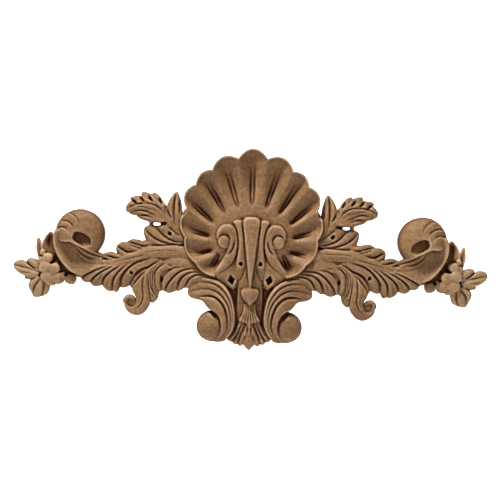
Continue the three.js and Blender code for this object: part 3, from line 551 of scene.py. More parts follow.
def rolled_scroll():
    """The wing's end: a ball with a rolled mouth, and the trumpet that runs into it."""
    fan(TRUMPET_RIM, TRUMPET_INNER,
        heights=[15.6, 16.2, 16.6, 17, 17.6, 18.2, 19, 20.6, 22, 23], bulges=0, root=1, edge=1,
        hollow=(0, 0.06, 0.14, 0.22, 0.26, 0.22, 0.1, 0), power=2)
    fan(TRUMPET_OUTER, TRUMPET_RIM,
        heights=[14.6, 15.5, 16.5, 17.5, 18.5, 19.2, 20, 21.2, 22.4, 22.6], bulges=0, root=0.93,
        edge=0.93, power=2)
    surfaces.append(ball_with_mouth())
    line([[187, 32.6], [181.6, 32.2], [176.6, 29.2], [172.6, 24], [171.2, 18]], 0.9, 2.4)
    line([[194.4, 22.4], [189.6, 24.6], [184.4, 24], [179.6, 20.6], [177.4, 15.6]], 0.95, 3)
    line([[197.2, 13.4], [193.6, 17], [189.4, 18.2], [185.2, 16.8], [182.6, 13.4]], 0.9, 2.8)
    line([[191.4, 27.2], [186.4, 28.4], [181.4, 26.8]], 0.5, 1)
    line([[196.6, 17.6], [192.6, 20.6], [188.4, 21.2]], 0.5, 1)
    trench([[177, 13.4], [174.4, 14.6], [170, 14.2], [165.6, 12.2], [162.2, 9], [160.6, 5], [160.8, 1]],
           [[179, 7.4], [177, 4.2], [173.8, 1.4], [170.2, -0.6], [166.6, -1.8], [163.6, -1.8],
            [161.8, -0.4]],
           [20, 17.4, 16.4, 17, 18.4, 20, 21],
           tilt=1.8)
    line([[177, 13.8], [171, 14.6], [165.2, 12.2], [161.2, 7.4], [160.4, 2]], 0.9, 2.6)
    # Folds that run out of the trumpet's throat
    bar([[147, -15.6, 2.6, 15.8], [156, -14.4, 2.2, 15.4], [166, -10.8, 1.9, 14.8],
         [174, -4.4, 1.5, 14.6], [178.8, 2.6, 1.1, 15.6]], edge=0.9, bulge=0.4)
    bar([[144, -10.6, 1.8, 12.5], [154, -7.4, 1.7, 16], [160, -4.9, 1.5, 18.6], [167, -1.9, 1.2, 20.2],
         [173, 1, 1.1, 21.4], [179, 3.6, 1, 22.4]], edge=0.9, bulge=0.4)
    line([[179.4, 3.4], [172.6, -5.4], [164, -10.6], [152, -12.6]], 1, 2.4)
    line([[178.6, 0.6], [172, -10.6], [162, -16.4], [148, -17.6]], 0.7, 1.4)
    line([[176.4, -0.6], [169, -8.8], [157, -13.8], [148, -14.6]], 0.6, 1)
    line([[188, -12], [181.6, -18.6], [173, -21.6], [162, -20.4]], 0.6, 0.7)
    line([[171.4, 19.6], [170.6, 17]], 0.5, 0.9)


# Short pits between the uppermost lobes of the shoulder: place, and lean from upright in radians
PITS = [(91, 46.4, 0.5), (101, 48.4, 0.62), (109.4, 47.6, 0.75), (117, 45.2, 0.9)]
PIT_REACH = 3.6
PIT_CUT = (1.9, 5.6)


def shoulder():
    """The leaves at the shell's shoulder."""
    fan([[86, 26], [94, 25.4], [100, 25], [105, 26.4], [110.6, 28.2]],
        [[86.6, 28], [94, 30.4], [100, 32.4], [107, 32], [114.6, 31.8]],
        [[87, 30], [94.6, 34], [102, 37], [111, 36.8], [122, 34]],
        [[87.4, 32], [95, 38], [105, 42.6], [115, 43.4], [126, 37.6]],
        [[87.6, 34.6], [95, 41], [104, 45.6], [112, 46.6], [120.6, 46.6]],
        [[87.4, 36.6], [93.4, 43], [100.4, 47], [104.4, 49], [109.6, 51.6]],
        [[87.2, 38.6], [91, 44.4], [95, 48.4], [97.4, 50.6], [99.2, 53]],
        [[86.6, 41], [87.4, 45], [89.6, 48.4], [92.4, 51.8], [94.4, 53.6]],
        heights=[15.4, 15, 14.2, 12.8, 10.4], bulges=[0.4, 0.5, 0.5, 0.5, 0.9, 1, 1], root=0.97,
        edge=0.88)
    line([[86.4, 30], [90.1, 37.4], [95.6, 41.9], [104, 44], [112, 43.6], [119, 41.4], [125, 38.2]],
         1.05, 3.4)
    line([[90.2, 33], [95.7, 36.6], [104, 39.4], [111, 40.4], [118, 39]], 0.8, 2)
    line([[94, 31.6], [98.6, 33.4], [104, 35.4], [110, 36.8], [116.6, 36.6]], 1.1, 3)
    line([[95.6, 28.6], [101, 30.4], [107.6, 32.4], [112.6, 32.4]], 0.9, 2.4)
    for x, z, lean in PITS:
        half = np.array([math.sin(lean), math.cos(lean)]) * PIT_REACH
        line([np.array([x, z]) - half, [x, z], np.array([x, z]) + half], *PIT_CUT)
    # The pointed leaf that stands between them and the shell
    fan([[84, 22], [85.6, 31], [85.6, 39], [83, 46.6], [79.6, 52.6], [76.8, 55.8]],
        [[76, 20], [77.2, 30], [77.6, 38], [77.4, 45], [76.6, 51], [75.6, 56]],
        [[69, 20], [69, 29], [69.2, 37], [70.4, 45], [72.4, 51.6], [74.2, 55.8]],
        heights=[15, 14.5, 13.5, 12.5, 11, 9.5], bulges=0.5, root=0.9, edge=0.82, power=1.8,
        groove=(1, 3.2))
    line([[84, 39], [82.5, 34], [79, 28.4]], 1.3, 4)
    line([[73, 48], [71.6, 40], [72, 32]], 1.6, 3.6)
    line([[67.4, 46], [67.2, 38], [69.4, 31]], 2.4, 7)
    # The broad leaf under it
    fan([[64, 11], [73, 15.4], [79, 20], [84, 23.6], [90.4, 22.6]],
        [[66, 5.6], [76, 6.6], [84.6, 10.4], [90.6, 15.6], [94.8, 20.8]],
        [[70, 3.8], [84, 4.9], [93.6, 8.2], [101, 13.2], [106.8, 19.4]],
        [[74, 1.6], [86, 1.4], [97, 1.8], [103, 4.4], [106.6, 12]],
        heights=[15.8, 15.8, 15.2, 14, 11.4], bulges=[0.2, 0.35, 0.3], power=2.4, groove=(1, 3))
    line([[83, 22], [79, 18], [74, 14], [69, 11.2]], 0.9, 2.6)
    line([[104, 4], [98, 2.8], [92, 2.2], [86, 2.6], [76, 3.4], [66, 3.2]], 1.1, 3.2)
    fan([[90, 27], [90, 34], [88.8, 39.6], [87, 43]],
        [[80, 25], [83.4, 32], [85.2, 38], [85.6, 42.6]],
        heights=[14.8, 14.2, 12.8, 11], root=0.97)
    fan([[94, 3.6], [102, 6.4], [107, 7.4]],
        [[94, 0.4], [102, 1], [108, 2]],
        heights=[15.6, 15, 13.4], root=0.97)
    fan([[62, 14], [71, 22], [76, 28]],
        [[68, 10], [77, 15], [84, 22]],
        heights=[15.2, 14.6, 13.8], bulges=0.3, root=0.97, edge=0.86)
    fan([[103, 17], [101, 30]],
        [[98, 17], [97, 30]],
        heights=[11, 11], bulges=0, root=0.97, edge=0.8, power=3)
    pocket(81, 14.4, 2.2, 3, 9, turn=-0.7)
    pocket(89, 24.4, 2.4, 1.7, 6)
    pocket(95, 23.6, 3.7, 1.6, -14, turn=0.12)


# The flower's and the bud's lumps: x, z, half width, half height, height, turn
LUMPS = [
    (204.6, -22, 5.4, 5.6, 17.8, 0.35), (196.2, -23.2, 5.2, 5.6, 17, -0.3),
    (202.2, -31.2, 6.6, 5.6, 16.6, 0.5), (193.4, -31.6, 5.4, 5, 15.6, -0.2),
    (199, -36.8, 5.4, 3, 14, 0.3), (190, -35.4, 4.2, 3, 13, -0.4),
    (186.8, -30.2, 3.4, 4.2, 13, 0.5), (179, -33.2, 5.4, 5.2, 13, 0.3),
    (203, -13.2, 4.2, 5.4, 16.4, 0.3), (207.2, -7.2, 2.5, 3.2, 14, 0.4),
    (208.6, -15.2, 2.8, 3.8, 14.4, 0.2),
]
LUMP_RIM, LUMP_SQUARE = 0.86, 0.22


def spray():
    """Flower, bud and leaves at the wing's end."""
    fan([[207, -24], [215, -21.4], [222.6, -17.6], [228, -15.2], [233, -16]],
        [[209, -27], [216, -25], [222, -23], [229, -21.6], [236.2, -20.4]],
        [[211, -31], [217, -32], [223.6, -31.2], [229.4, -28.8], [234.4, -25]],
        heights=[12.6, 12.8, 12.4, 11.2, 9.4], bulges=[0.3, 0.2], root=0.9, power=2, groove=(0.6, 1.6))
    fan([[206, -21], [211, -16.4], [215.4, -13.8], [219.4, -13.2]],
        [[209, -25], [214, -23], [219, -20], [223, -16.6]],
        heights=[12.2, 13, 12.8, 11], root=0.9, power=2)
    line([[224.4, -16], [220.6, -19.6], [216.6, -22.4], [212, -24.4]], 1.3, 3.6)
    line([[230, -26.6], [224, -27.6], [217.6, -28.4]], 0.8, 2)
    fan([[212, -30], [218.6, -34.8], [220.6, -40], [220, -46]],
        [[208, -33], [212, -37.6], [215.4, -42.6], [218.8, -49.8]],
        [[204.6, -35], [205.4, -41.4], [207.6, -46.8], [211.4, -51.4]],
        [[199, -36], [199.4, -40.6], [202, -45.4], [204.6, -48.4]],
        heights=[12, 12.4, 11.4, 9.2], bulges=[0.2, 0.5, 0.4], root=0.9, groove=(0.8, 2.2))
    line([[209, -35], [213.6, -40.6], [218, -47]], 0.8, 2.2)
    line([[205.4, -37], [204.8, -42], [205.4, -46]], 0.8, 2.2)
    line([[213, -32.4], [217, -34.6], [220.6, -37]], 1.1, 3)
    fan([[213, -29], [219, -31.4], [224.6, -31.4]],
        [[212, -32.6], [218, -34.4], [223.4, -34.4]],
        heights=[10.5, 10, 8.5], bulges=0.6, root=0.97, power=2)
    # Two hollow leaves that stand up behind the flower
    fan([[197, -8], [197, 0], [198, 6.6], [200, 12.6]],
        [[207.4, -8], [208.2, -0.6], [206.8, 5.6], [203, 12]],
        heights=[11.4, 12, 11.4, 9.8], bulges=0.9, root=0.97, edge=0.9, hollow=(0.45, 0.5, 0.44, 0.2),
        power=1.8)
    fan([[205.6, -12], [207.4, -4], [209.4, 2.6], [211, 6.6]],
        [[211.4, -13], [213.6, -5], [213.8, 1.6], [213.2, 7.2]],
        heights=[11, 11.4, 10.6, 9.4], bulges=0.6, root=0.97, edge=0.9, hollow=(0.2, 0.4, 0.36, 0.1),
        power=1.8)
    line([[201.2, 11], [202.4, 4], [202, -6]], 1.8, 3.4)
    for *shape, turn in LUMPS:
        boss(*shape, rim=LUMP_RIM, turn=turn, square=LUMP_SQUARE)
    pocket(196.6, -13.4, 2.4, 5.2, 4.6, turn=0.2)
    pocket(184, -28.4, 1.9, 2.6, 5.2)
    pocket(178.8, -27.6, 2.8, 0.9, 5.6)


# Wood behind the gaps: flat bars, as stations of x, z, half width and height

GROUND = [
    [[44, -12, 18, 8.5], [96, -14, 16, 8.5], [150, -19, 8, 8]],
    [[60, 8, 13, 8.5], [86, 30, 8, 7.5]],
    [[22, -33, 6, 15.4], [34, -28, 4.4, 16], [46, -24.4, 4.4, 15], [56, -20, 4, 14]],
    [[60, -12, 7, 12], [92, -16, 6, 12.5]],
    [[58, 4, 4, 12.5], [88, 4.4, 2, 12.5]],
    [[74, -12, 5, 15.4], [100, -15, 5, 15]],
    [[82, -19, 3.4, 14.5], [88, -28, 3.4, 13], [88.4, -41, 1.8, 10]],
    [[84, -26, 5, 8], [89, -41, 1.6, 8]],
    [[106, -22, 5, 8], [116.4, -39, 2.4, 8]],
    [[168, -22, 7, 7], [200, -24, 11, 7], [212, -26, 7, 7]],
    [[202, -28, 6, 7], [204, 2, 4, 7]],
    [[190, -32, 5, 10.4], [206, -28, 8, 10.4]],
    [[149, -13.6, 2.4, 12.5], [156, -11, 2.8, 13], [164, -7.4, 3.2, 14], [173, -2.6, 3.4, 15]],
    [[89, 26.8, 1.7, 10.5], [99.4, 26.6, 1.7, 10.5]],
    [[91, 20.4, 1.8, 10.5], [101.6, 20.8, 1.8, 10.5]],
    [[195, -4, 5, 7], [192, -20, 6, 7]],
    [[0, 28, 18, 18], [0, -34, 15, 16]],
    [[0, -34, 24, 9], [0, -88, 18, 7.5]],
    [[0, -30, 24, 14], [0, -38, 15, 13]],
]


def ground():
    for stations in GROUND:
        bar(stations, edge=1)


# Height field

ABOVE, BELOW = 80.0, -60.0  # where the rays start, over and under everything that is drawn
NO_SURFACE, NO_CUT = -1.0, 99.0  # heights where a ray meets nothing
LEAST_COVER = 1e-3  # less wood than this round a point counts as this
LEAST_HEIGHT = 2.5  # no cut goes nearer to the back
WING_FROM, WING_CUT = 66.0, 1.3  # lines farther out than this are cut deeper by this factor

# How a line's depth fades at its start and at its end: slope and least share, and the power of the end
LINE_ENDS = {
    "fade": (3.2, 0.12, 3.2, 0.12, 1.0),
    "root": (0.0, 1.0, 4.0, 0.3, 1.0),
    "out": (6.0, 0.1, 2.0, 0.0, 0.9),
}
LEAST_WIDTH = 0.45  # share of its width that a line keeps where it has faded away
LINE_DENSITY = 4  # places worked out for each row of a line

SOFTEN = 0.42  # radius of the blur that softens the cutter's edges, mm
CREASE, CAVITY, HOLLOW = 0.9, 1.9, 5.0  # how far round each point its height is compared, mm
TOOL_MARKS = [(0.16, 5.0, 11), (0.1, 2.0, 12)]  # height, size and seed of the unevenness
OUTLINE_MARKS = (0.05, 3.0, 13)  # the same for the cover of wood
OUTLINE = 0.5  # the softened share of wood that counts as the outline
RIM_BLUR, RIM_DROP, RIM_POWER = 0.8, 1.7, 1.5  # how the edge at the outline is rounded over

# The rolled scrolls and the hooks sit in toward the middle: how far, and over which stretches that sets in
SCROLL_LEAN, SCROLL_INNER, SCROLL_OUTER, SCROLL_LOW = 2.2, (112, 146), (206, 197), (-32, -20)
HOOK_LEAN, HOOK_INNER, HOOK_HIGH = 2.4, (98, 112), (-40, -50)
NEAREST = 0.12  # the outline keeps this share of a grid step away from each grid point


def tree_of(patches):
    """All patches as one tree of faces; a patch may come with a mask of the points that stay."""
    points, faces = [], []
    start = 0
    for patch in patches:
        keep = None
        if isinstance(patch, tuple):
            patch, keep = patch
        rows, columns = patch.shape[:2]
        points.append(patch.reshape(-1, 3))
        index = np.arange(rows * columns).reshape(rows, columns) + start
        quads = np.stack([index[:-1, :-1], index[1:, :-1], index[1:, 1:], index[:-1, 1:]], axis=2)
        if keep is not None:
            quads = quads[keep[:-1, :-1] & keep[1:, :-1] & keep[1:, 1:] & keep[:-1, 1:]]
        faces.append(quads.reshape(-1, 4))
        start += rows * columns
    return BVHTree.FromPolygons(np.vstack(points).tolist(), np.vstack(faces).tolist(), epsilon=0.0)


def cast(tree, xs, zs, start, way, miss):
    """The first height that a ray meets over each point of a grid."""
    found = np.full((len(xs), len(zs)), miss)
    direction = Vector((0, 0, way))
    for i, x in enumerate(xs.tolist()):
        for j, z in enumerate(zs.tolist()):
            hit = tree.ray_cast(Vector((x, z, start)), direction)[0]
            if hit is not None:
                found[i, j] = hit.z
    return found


def blur(field, sigma):
    """Gaussian blur over both axes, sigma in millimetres."""
    reach = int(3 * sigma / SAMPLE)
    kernel = np.exp(-0.5 * (np.arange(-reach, reach + 1) * SAMPLE / sigma) ** 2)
    kernel /= kernel.sum()
    field = np.pad(field, reach, mode="edge")
    for axis in (0, 1):
        field = np.apply_along_axis(np.convolve, axis, field, kernel, mode="valid")
    return field


def depth_share(share, ends):
    """How much of its depth a line has at each share of its length."""
    rise, start, fall, end, power = LINE_ENDS[ends]
    return np.minimum(1, share * rise + start) * np.minimum(1, (1 - share) * fall + end) ** power


def engrave(height, xs, zs):
    """Cuts the engraved lines into the height field."""
    depths = np.zeros_like(height)
    for points, width, depth, ends in engravings:
        if points[:, 0].mean() > WING_FROM:
            depth = depth * WING_CUT
        rows = np.arange(len(points))
        fade = depth_share(rows / rows[-1], ends)
        wide = width * (LEAST_WIDTH + (1 - LEAST_WIDTH) * fade)
        dense = np.linspace(0, rows[-1], LINE_DENSITY * len(points))
        columns = (points[:, 0], points[:, 1], fade, wide)
        for x, z, f, w in zip(*(np.interp(dense, rows, column) for column in columns)):
            a0, a1 = np.searchsorted(xs, [x - w, x + w])
            b0, b1 = np.searchsorted(zs, [z - w, z + w])
            near = depths[a0:a1, b0:b1]
            away = np.hypot(xs[a0:a1, None] - x, zs[None, b0:b1] - z) / w
            np.maximum(near, depth * f * np.clip(1 - away, 0, 1), out=near)
    return height - depths


def ease(value, start, full):
    """A soft step from 0 at start to 1 at full."""
    t = np.clip((value - start) / (full - start), 0, 1)
    return t * t * (3 - 2 * t)


def value_noise(shape, cell, seed):
    """Smooth noise between -1 and 1 with features of one cell, mm."""
    rng = np.random.default_rng(seed)
    count = [int(n * SAMPLE / cell) + 4 for n in shape]
    knots = rng.uniform(-1, 1, count)
    for axis in (0, 1):
        place = np.arange(shape[axis]) * SAMPLE / cell
        k = place.astype(int)
        t = ease(place - k, 0, 1)
        t = t[:, None] if axis == 0 else t[None]
        knots = np.take(knots, k, axis=axis) * (1 - t) + np.take(knots, k + 1, axis=axis) * t
    return knots


def mirrored(field):
    return np.concatenate([field[:0:-1], field], axis=0)


def against_surroundings(height, inside, radius):
    """How far each point stands over the wood round it."""
    return height - blur(height * inside, radius) / np.maximum(blur(inside, radius), LEAST_COVER)


def height_field():
    """The grid's axes, and over it the height, the cover of wood, the crease, the cavity and the hollow."""
    xs = np.arange(0, HALF_REACH, SAMPLE)
    zs = np.arange(LOWEST, HIGHEST, SAMPLE)
    top = cast(tree_of(surfaces), xs, zs, ABOVE, -1.0, NO_SURFACE)
    floor = cast(tree_of(cuts), xs, zs, BELOW, 1.0, NO_CUT)
    inside = (top > 0) & (floor > 0)
    height = engrave(np.where(inside, np.minimum(top, floor), 0.0), xs, zs)
    height = mirrored(np.where(inside, np.maximum(height, LEAST_HEIGHT), 0.0))
    inside = mirrored(inside.astype(float))
    cover = blur(inside, SOFTEN)
    height = blur(height * inside, SOFTEN) / np.maximum(cover, LEAST_COVER)
    for rise, cell, seed in TOOL_MARKS:
        height += rise * value_noise(height.shape, cell, seed)
    rise, cell, seed = OUTLINE_MARKS
    cover = cover + rise * value_noise(height.shape, cell, seed)
    relief = [against_surroundings(height, inside, radius) for radius in (CREASE, CAVITY, HOLLOW)]
    rim = np.clip((blur(inside, RIM_BLUR) - OUTLINE) / (1 - OUTLINE), 0, 1)
    height = height - RIM_DROP * (1 - rim) ** RIM_POWER
    return np.concatenate([-xs[:0:-1], xs]), zs, height, cover, *relief


def lean_in(x, z):
    """How far the rolled scrolls and the hooks below them sit in toward the middle, mm."""
    side = np.abs(x)
    scroll = ease(side, *SCROLL_INNER) * ease(side, *SCROLL_OUTER) * ease(z, *SCROLL_LOW)
    hook = ease(side, *HOOK_INNER) * ease(z, *HOOK_HIGH)
    return np.sign(x) * (SCROLL_LEAN * scroll + HOOK_LEAN * hook)


def carve():
    """The carved face: points of x, z, height and relief, faces, and the edges of its outline."""
    xs, zs, *fields = height_field()
    height, cover, *relief = [field[::EVERY, ::EVERY] for field in fields]
    inside = cover >= OUTLINE
    index = np.full(inside.shape, -1)
    index[inside] = np.arange(inside.sum())
    fields = (*np.meshgrid(xs[::EVERY], zs[::EVERY], indexing="ij"), height, *relief)
    points = np.stack([f[inside] for f in fields], axis=1).tolist()
    corners = [index[:-1, :-1], index[1:, :-1], index[1:, 1:], index[:-1, 1:]]
    full = np.all([c >= 0 for c in corners], axis=0)
    faces = np.stack([c[full] for c in corners], axis=1).tolist()
    some = np.any([c >= 0 for c in corners], axis=0) & ~full
    crossing, outline = {}, []

    def cross(a, b):
        """The outline's point between an inner and an outer grid point."""
        if (a, b) not in crossing:
            share = (cover[a] - OUTLINE) / (cover[a] - cover[b])
            t = min(1 - NEAREST, max(NEAREST, share))
            crossing[a, b] = len(points)
            points.append([float(f[a] * (1 - t) + f[b] * t) for f in fields])
        return crossing[a, b]

    for i, j in zip(*np.nonzero(some)):
        square = [(i, j), (i + 1, j), (i + 1, j + 1), (i, j + 1)]
        for first in range(4):
            if not inside[square[first]] or inside[square[first - 1]]:
                continue
            run = [square[first]]
            while inside[square[(first + len(run)) % 4]]:
                run.append(square[(first + len(run)) % 4])
            enters = cross(run[0], square[first - 1])
            leaves = cross(run[-1], square[(first + len(run)) % 4])
            faces.append([enters, *(int(index[corner]) for corner in run), leaves])
            outline.append((leaves, enters))
    points = np.array(points)
    points[:, 0] -= lean_in(points[:, 0], points[:, 1])
    return points, faces, outline


def build_mesh(points, faces, outline):
    """The carved face with its walls and flat back, in metres."""
    mesh = bpy.data.meshes.new("carving")
    count = len(points)
    ring = sorted({v for edge in outline for v in edge})
    below = {v: count + k for k, v in enumerate(ring)}
    top = np.stack([points[:, 0] * PLAN, -points[:, 2] * DEEP, points[:, 1] * PLAN], axis=1) * MM
    bottom = top[ring].copy()
    bottom[:, 1] = 0.0
    walls = [[b, a, below[a], below[b]] for a, b in outline]
    mesh.from_pydata(np.vstack([top, bottom]).tolist(), [], [face[::-1] for face in faces + walls])
    work = bmesh.new()
    work.from_mesh(mesh)
    rim = [edge for edge in work.edges if edge.is_boundary]
    bmesh.ops.triangle_fill(work, use_beauty=True, edges=rim, normal=(0, 1, 0))
    bmesh.ops.recalc_face_normals(work, faces=work.faces)
    # Carved face, walls and back are each smooth, with sharp edges where they meet
    flat_start = len(faces) + len(walls)
    work.faces.ensure_lookup_table()
    for face in work.faces:
        face.smooth = face.index < flat_start
    for edge in work.edges:
        parts = {(f.index >= len(faces)) + (f.index >= flat_start) for f in edge.link_faces}
        edge.smooth = len(parts) == 1
    work.to_mesh(mesh)
    work.free()
    # The relief measures that the material turns into painted shade and painted highlights
    for column, name in enumerate(("crease", "cavity", "hollow"), start=3):
        values = np.zeros(len(mesh.vertices))
        values[:count] = points[:, column]
        mesh.attributes.new(name, "FLOAT", "POINT").data.foreach_set("value", values)
    return mesh


# Wood

# Grain runs along the piece: scale, stretch along x, y and z, detail and roughness of each texture
BANDS = (9.0, (0.35, 1.0, 1.6), 4.0, 0.55)
FIBRES = (60.0, (0.2, 1.0, 3.0), 4.0, 0.65)
PORES = (240.0, (0.2, 1.0, 1.4), 2.0, 0.55)
SPECKS = (420.0, (1.0, 1.0, 1.0), 2.0, 0.55)

# The bands' colours, and what fibres and specks multiply them by
BAND_TONES = [(0.3, (0.142, 0.074, 0.030)), (0.52, (0.178, 0.098, 0.044)), (0.75, (0.225, 0.132, 0.066))]
FIBRE_TONES = [(0.3, (0.78, 0.76, 0.74)), (0.55, (1.0, 1.0, 1.0)), (0.8, (1.16, 1.14, 1.12))]
SPECK_TONES = [(0.34, (0.66, 0.64, 0.62)), (0.5, (1.0, 1.0, 1.0)), (0.66, (1.36, 1.35, 1.31))]
FIBRE_SHARE, SPECK_SHARE = 0.85, 0.7

# Tints over that: where they start and are full, their share there, their colour
PORE_TINT = (0.66, 0.74, 0.45, (0.1, 0.05, 0.025))
END_TINT = (0.178, 0.208, 0.42, (0.36, 0.245, 0.14))  # from the middle, metres
CARVED_FROM, CARVED_FULL = -0.002, -0.009  # the ends are paler in front of this, metres

# Painted shade, with some dirt, darkens the grooves and hollows, and painted highlights lighten the ridges
# and edges: attribute, from, to, share at the end, colour; heights in mm
RELIEF_SHADE_AND_HIGHLIGHT = [
    # painted shade in broad hollows
    ("hollow", -0.6, -5.0, 0.66, (0.088, 0.029, 0.006)),
    # painted highlight on broad raised parts
    ("hollow", 0.8, 6.0, 0.12, (0.37, 0.225, 0.12)),
    # painted shade in grooves, with some dirt
    ("cavity", -0.25, -2.6, 0.88, (0.07, 0.0165, 0.002)),
    # painted shade in narrow creases
    ("crease", -0.1, -0.85, 0.88, (0.062, 0.0145, 0.002)),
    # painted highlight on ridges
    ("cavity", 0.35, 2.2, 0.4, (0.40, 0.265, 0.16)),
    # painted highlight on sharp edges
    ("crease", 0.16, 0.8, 0.34, (0.47, 0.33, 0.21)),
]
ROUGHNESS, SPECULAR = 0.62, 0.17
BUMP_STRENGTH, BUMP_DISTANCE = 0.35, 0.0006
NODE_GAP = 200  # between neighbours in the node editor
MIX_SOCKETS, MIX_RESULT = (0, 6, 7), 2  # a colour mix's factor, its two colours and its result


def node(tree, kind, **options):
    """A new node, set down to the left of the ones before it."""
    made = tree.nodes.new(kind)
    made.location = (-NODE_GAP * len(tree.nodes), 0)
    for name, value in options.items():
        setattr(made, name, value)
    return made


def ramp(tree, value, stops):
    made = node(tree, "ShaderNodeValToRGB")
    elements = made.color_ramp.elements
    while len(elements) < len(stops):
        elements.new(0.5)
    for element, (place, colour) in zip(elements, stops):
        element.position = place
        element.color = (*colour, 1)
    tree.links.new(value, made.inputs[0])
    return made.outputs[0]


def mix(tree, kind, factor, one, other):
    """Mixes two colours; factor, one and other are sockets or values."""
    made = node(tree, "ShaderNodeMix", data_type="RGBA", blend_type=kind)
    for index, value in zip(MIX_SOCKETS, (factor, one, other)):
        socket = made.inputs[index]
        if isinstance(value, bpy.types.NodeSocket):
            tree.links.new(value, socket)
        else:
            socket.default_value = (*value, 1) if isinstance(value, tuple) else value
    return made.outputs[MIX_RESULT]


def noise(tree, coordinates, scale, stretch, detail, rough):
    place = node(tree, "ShaderNodeMapping")
    place.inputs["Scale"].default_value = stretch
    tree.links.new(coordinates, place.inputs["Vector"])
    made = node(tree, "ShaderNodeTexNoise")
    made.inputs["Scale"].default_value = scale
    made.inputs["Detail"].default_value = detail
    made.inputs["Roughness"].default_value = rough
    tree.links.new(place.outputs[0], made.inputs["Vector"])
    return made.outputs["Fac"]


def ranged(tree, value, start, full, share=1.0):
    """From 0 where value is at start to share where it is at full."""
    made = node(tree, "ShaderNodeMapRange")
    made.inputs["From Min"].default_value = start
    made.inputs["From Max"].default_value = full
    made.inputs["To Min"].default_value = 0.0
    made.inputs["To Max"].default_value = share
    tree.links.new(value, made.inputs["Value"])
    return made.outputs[0]


def worked_out(tree, operation, *values):
    made = node(tree, "ShaderNodeMath", operation=operation)
    for value, socket in zip(values, made.inputs):
        tree.links.new(value, socket)
    return made.outputs[0]


def new_material(name):
    material = bpy.data.materials.new(name)
    material.use_nodes = True
    return material, material.node_tree, material.node_tree.nodes["Principled BSDF"]


def carved_wood():
    material, tree, shader = new_material("carved_wood")
    coordinates = node(tree, "ShaderNodeTexCoord").outputs["Object"]
    fibres = noise(tree, coordinates, *FIBRES)
    colour = ramp(tree, noise(tree, coordinates, *BANDS), BAND_TONES)
    colour = mix(tree, "MULTIPLY", FIBRE_SHARE, colour, ramp(tree, fibres, FIBRE_TONES))
    specks = ramp(tree, noise(tree, coordinates, *SPECKS), SPECK_TONES)
    colour = mix(tree, "MULTIPLY", SPECK_SHARE, colour, specks)
    *reach, tint = PORE_TINT
    colour = mix(tree, "MIX", ranged(tree, noise(tree, coordinates, *PORES), *reach), colour, tint)
    # The outer ends are paler on the carved side
    place = node(tree, "ShaderNodeSeparateXYZ")
    tree.links.new(coordinates, place.inputs[0])
    *reach, tint = END_TINT
    outward = ranged(tree, worked_out(tree, "ABSOLUTE", place.outputs["X"]), *reach)
    in_front = ranged(tree, place.outputs["Y"], CARVED_FROM, CARVED_FULL)
    colour = mix(tree, "MIX", worked_out(tree, "MULTIPLY", outward, in_front), colour, tint)
    # Painted shade in the hollows and grooves, and painted highlights on the ridges and edges
    for name, *reach, tint in RELIEF_SHADE_AND_HIGHLIGHT:
        relief = node(tree, "ShaderNodeAttribute", attribute_name=name).outputs["Fac"]
        colour = mix(tree, "MIX", ranged(tree, relief, *reach), colour, tint)
    tree.links.new(colour, shader.inputs["Base Color"])
    shader.inputs["Roughness"].default_value = ROUGHNESS
    shader.inputs["Specular IOR Level"].default_value = SPECULAR
    bump = node(tree, "ShaderNodeBump")
    bump.inputs["Strength"].default_value = BUMP_STRENGTH
    bump.inputs["Distance"].default_value = BUMP_DISTANCE
    tree.links.new(fibres, bump.inputs["Height"])
    tree.links.new(bump.outputs[0], shader.inputs["Normal"])
    return material


# Studio

SHEET = 6.0  # side of the floor and of the backdrop, metres
FLOOR_BELOW = 0.62
BACKDROP_BEHIND = 2.2
SHEET_SETTINGS = {
    "Base Color": (0.9, 0.9, 0.9, 1),
    "Roughness": 0.9,
    "Emission Color": (1, 1, 1, 1),
    "Emission Strength": 0.85,
}

# Name, watts, side in metres, place, colour
LIGHTS = [
    ("key", 55.0, 0.35, (-0.4, -0.62, 1.4), (1.0, 0.98, 0.95)),
    ("front", 3.3, 1.2, (0.7, -1.8, 0.4), (1.0, 0.98, 0.96)),
    ("under", 9.5, 0.5, (0.1, -0.45, -1.0), (1.0, 0.84, 0.5)),
]
SKY_COLOUR, SKY_STRENGTH = (1, 0.985, 0.96, 1), 0.1

VIEW_DISTANCE = 1.75
VIEW_WIDTH = 0.5  # width of the picture at the back face
VIEW_ASIDE = -0.001  # the camera stands this far to the right of the middle
TILT = 1.4  # degrees that the piece hangs out of level in the picture
SENSOR = 36.0  # width of the camera's sensor, mm


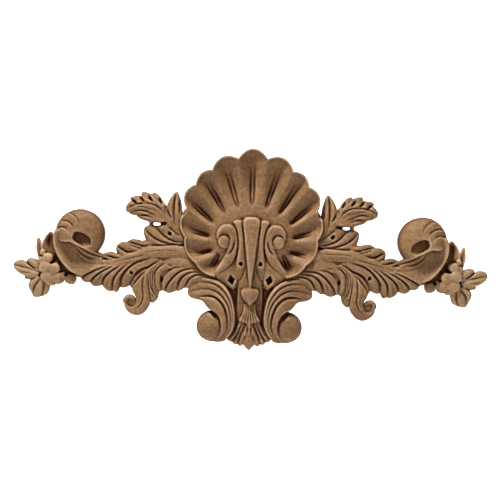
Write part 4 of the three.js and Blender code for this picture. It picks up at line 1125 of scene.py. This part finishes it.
def sheet(name, at, turn, material):
    """A square sheet that belongs to the studio."""
    half = SHEET / 2
    corners = [(-half, -half, 0), (half, -half, 0), (half, half, 0), (-half, half, 0)]
    mesh = bpy.data.meshes.new(name)
    mesh.from_pydata(corners, [], [(0, 1, 2, 3)])
    mesh.materials.append(material)
    plane = bpy.data.objects.new(name, mesh)
    plane.location = at
    plane.rotation_euler = turn
    bpy.context.scene.collection.objects.link(plane)


def studio():
    material, tree, shader = new_material("pale_backdrop")
    for name, value in SHEET_SETTINGS.items():
        shader.inputs[name].default_value = value
    sheet("floor", (0, 0, -FLOOR_BELOW), (0, 0, 0), material)
    sheet("backdrop", (0, BACKDROP_BEHIND, 0), (math.pi / 2, 0, 0), material)
    for name, energy, size, at, colour in LIGHTS:
        data = bpy.data.lights.new(name, "AREA")
        data.energy = energy
        data.size = size
        data.color = colour
        lamp = bpy.data.objects.new(name, data)
        lamp.location = at
        lamp.rotation_euler = (-Vector(at)).to_track_quat("-Z", "Y").to_euler()
        bpy.context.scene.collection.objects.link(lamp)
    world = bpy.data.worlds.new("studio")
    world.use_nodes = True
    background = world.node_tree.nodes["Background"]
    background.inputs[0].default_value = SKY_COLOUR
    background.inputs[1].default_value = SKY_STRENGTH
    bpy.context.scene.world = world


def photographer():
    data = bpy.data.cameras.new("camera")
    data.sensor_width = SENSOR
    data.lens = SENSOR * VIEW_DISTANCE / VIEW_WIDTH
    camera = bpy.data.objects.new("camera", data)
    camera.location = (VIEW_ASIDE, -VIEW_DISTANCE, 0.0)
    camera.rotation_euler = (math.pi / 2, -math.radians(TILT), 0)
    bpy.context.scene.collection.objects.link(camera)
    bpy.context.scene.camera = camera


for draw in (ground, shell, slots, keystone, column, lower_scroll, wing, hooked_leaf, turning_bands,
             inner_lobes, rolled_scroll, shoulder, spray):
    draw()

carving = bpy.data.objects.new("carving", build_mesh(*carve()))
bpy.context.scene.collection.objects.link(carving)
carving.data.materials.append(carved_wood())
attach(carving, "root")
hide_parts(NODE)
studio()
photographer()
bpy.context.scene.view_settings.view_transform = "Standard"
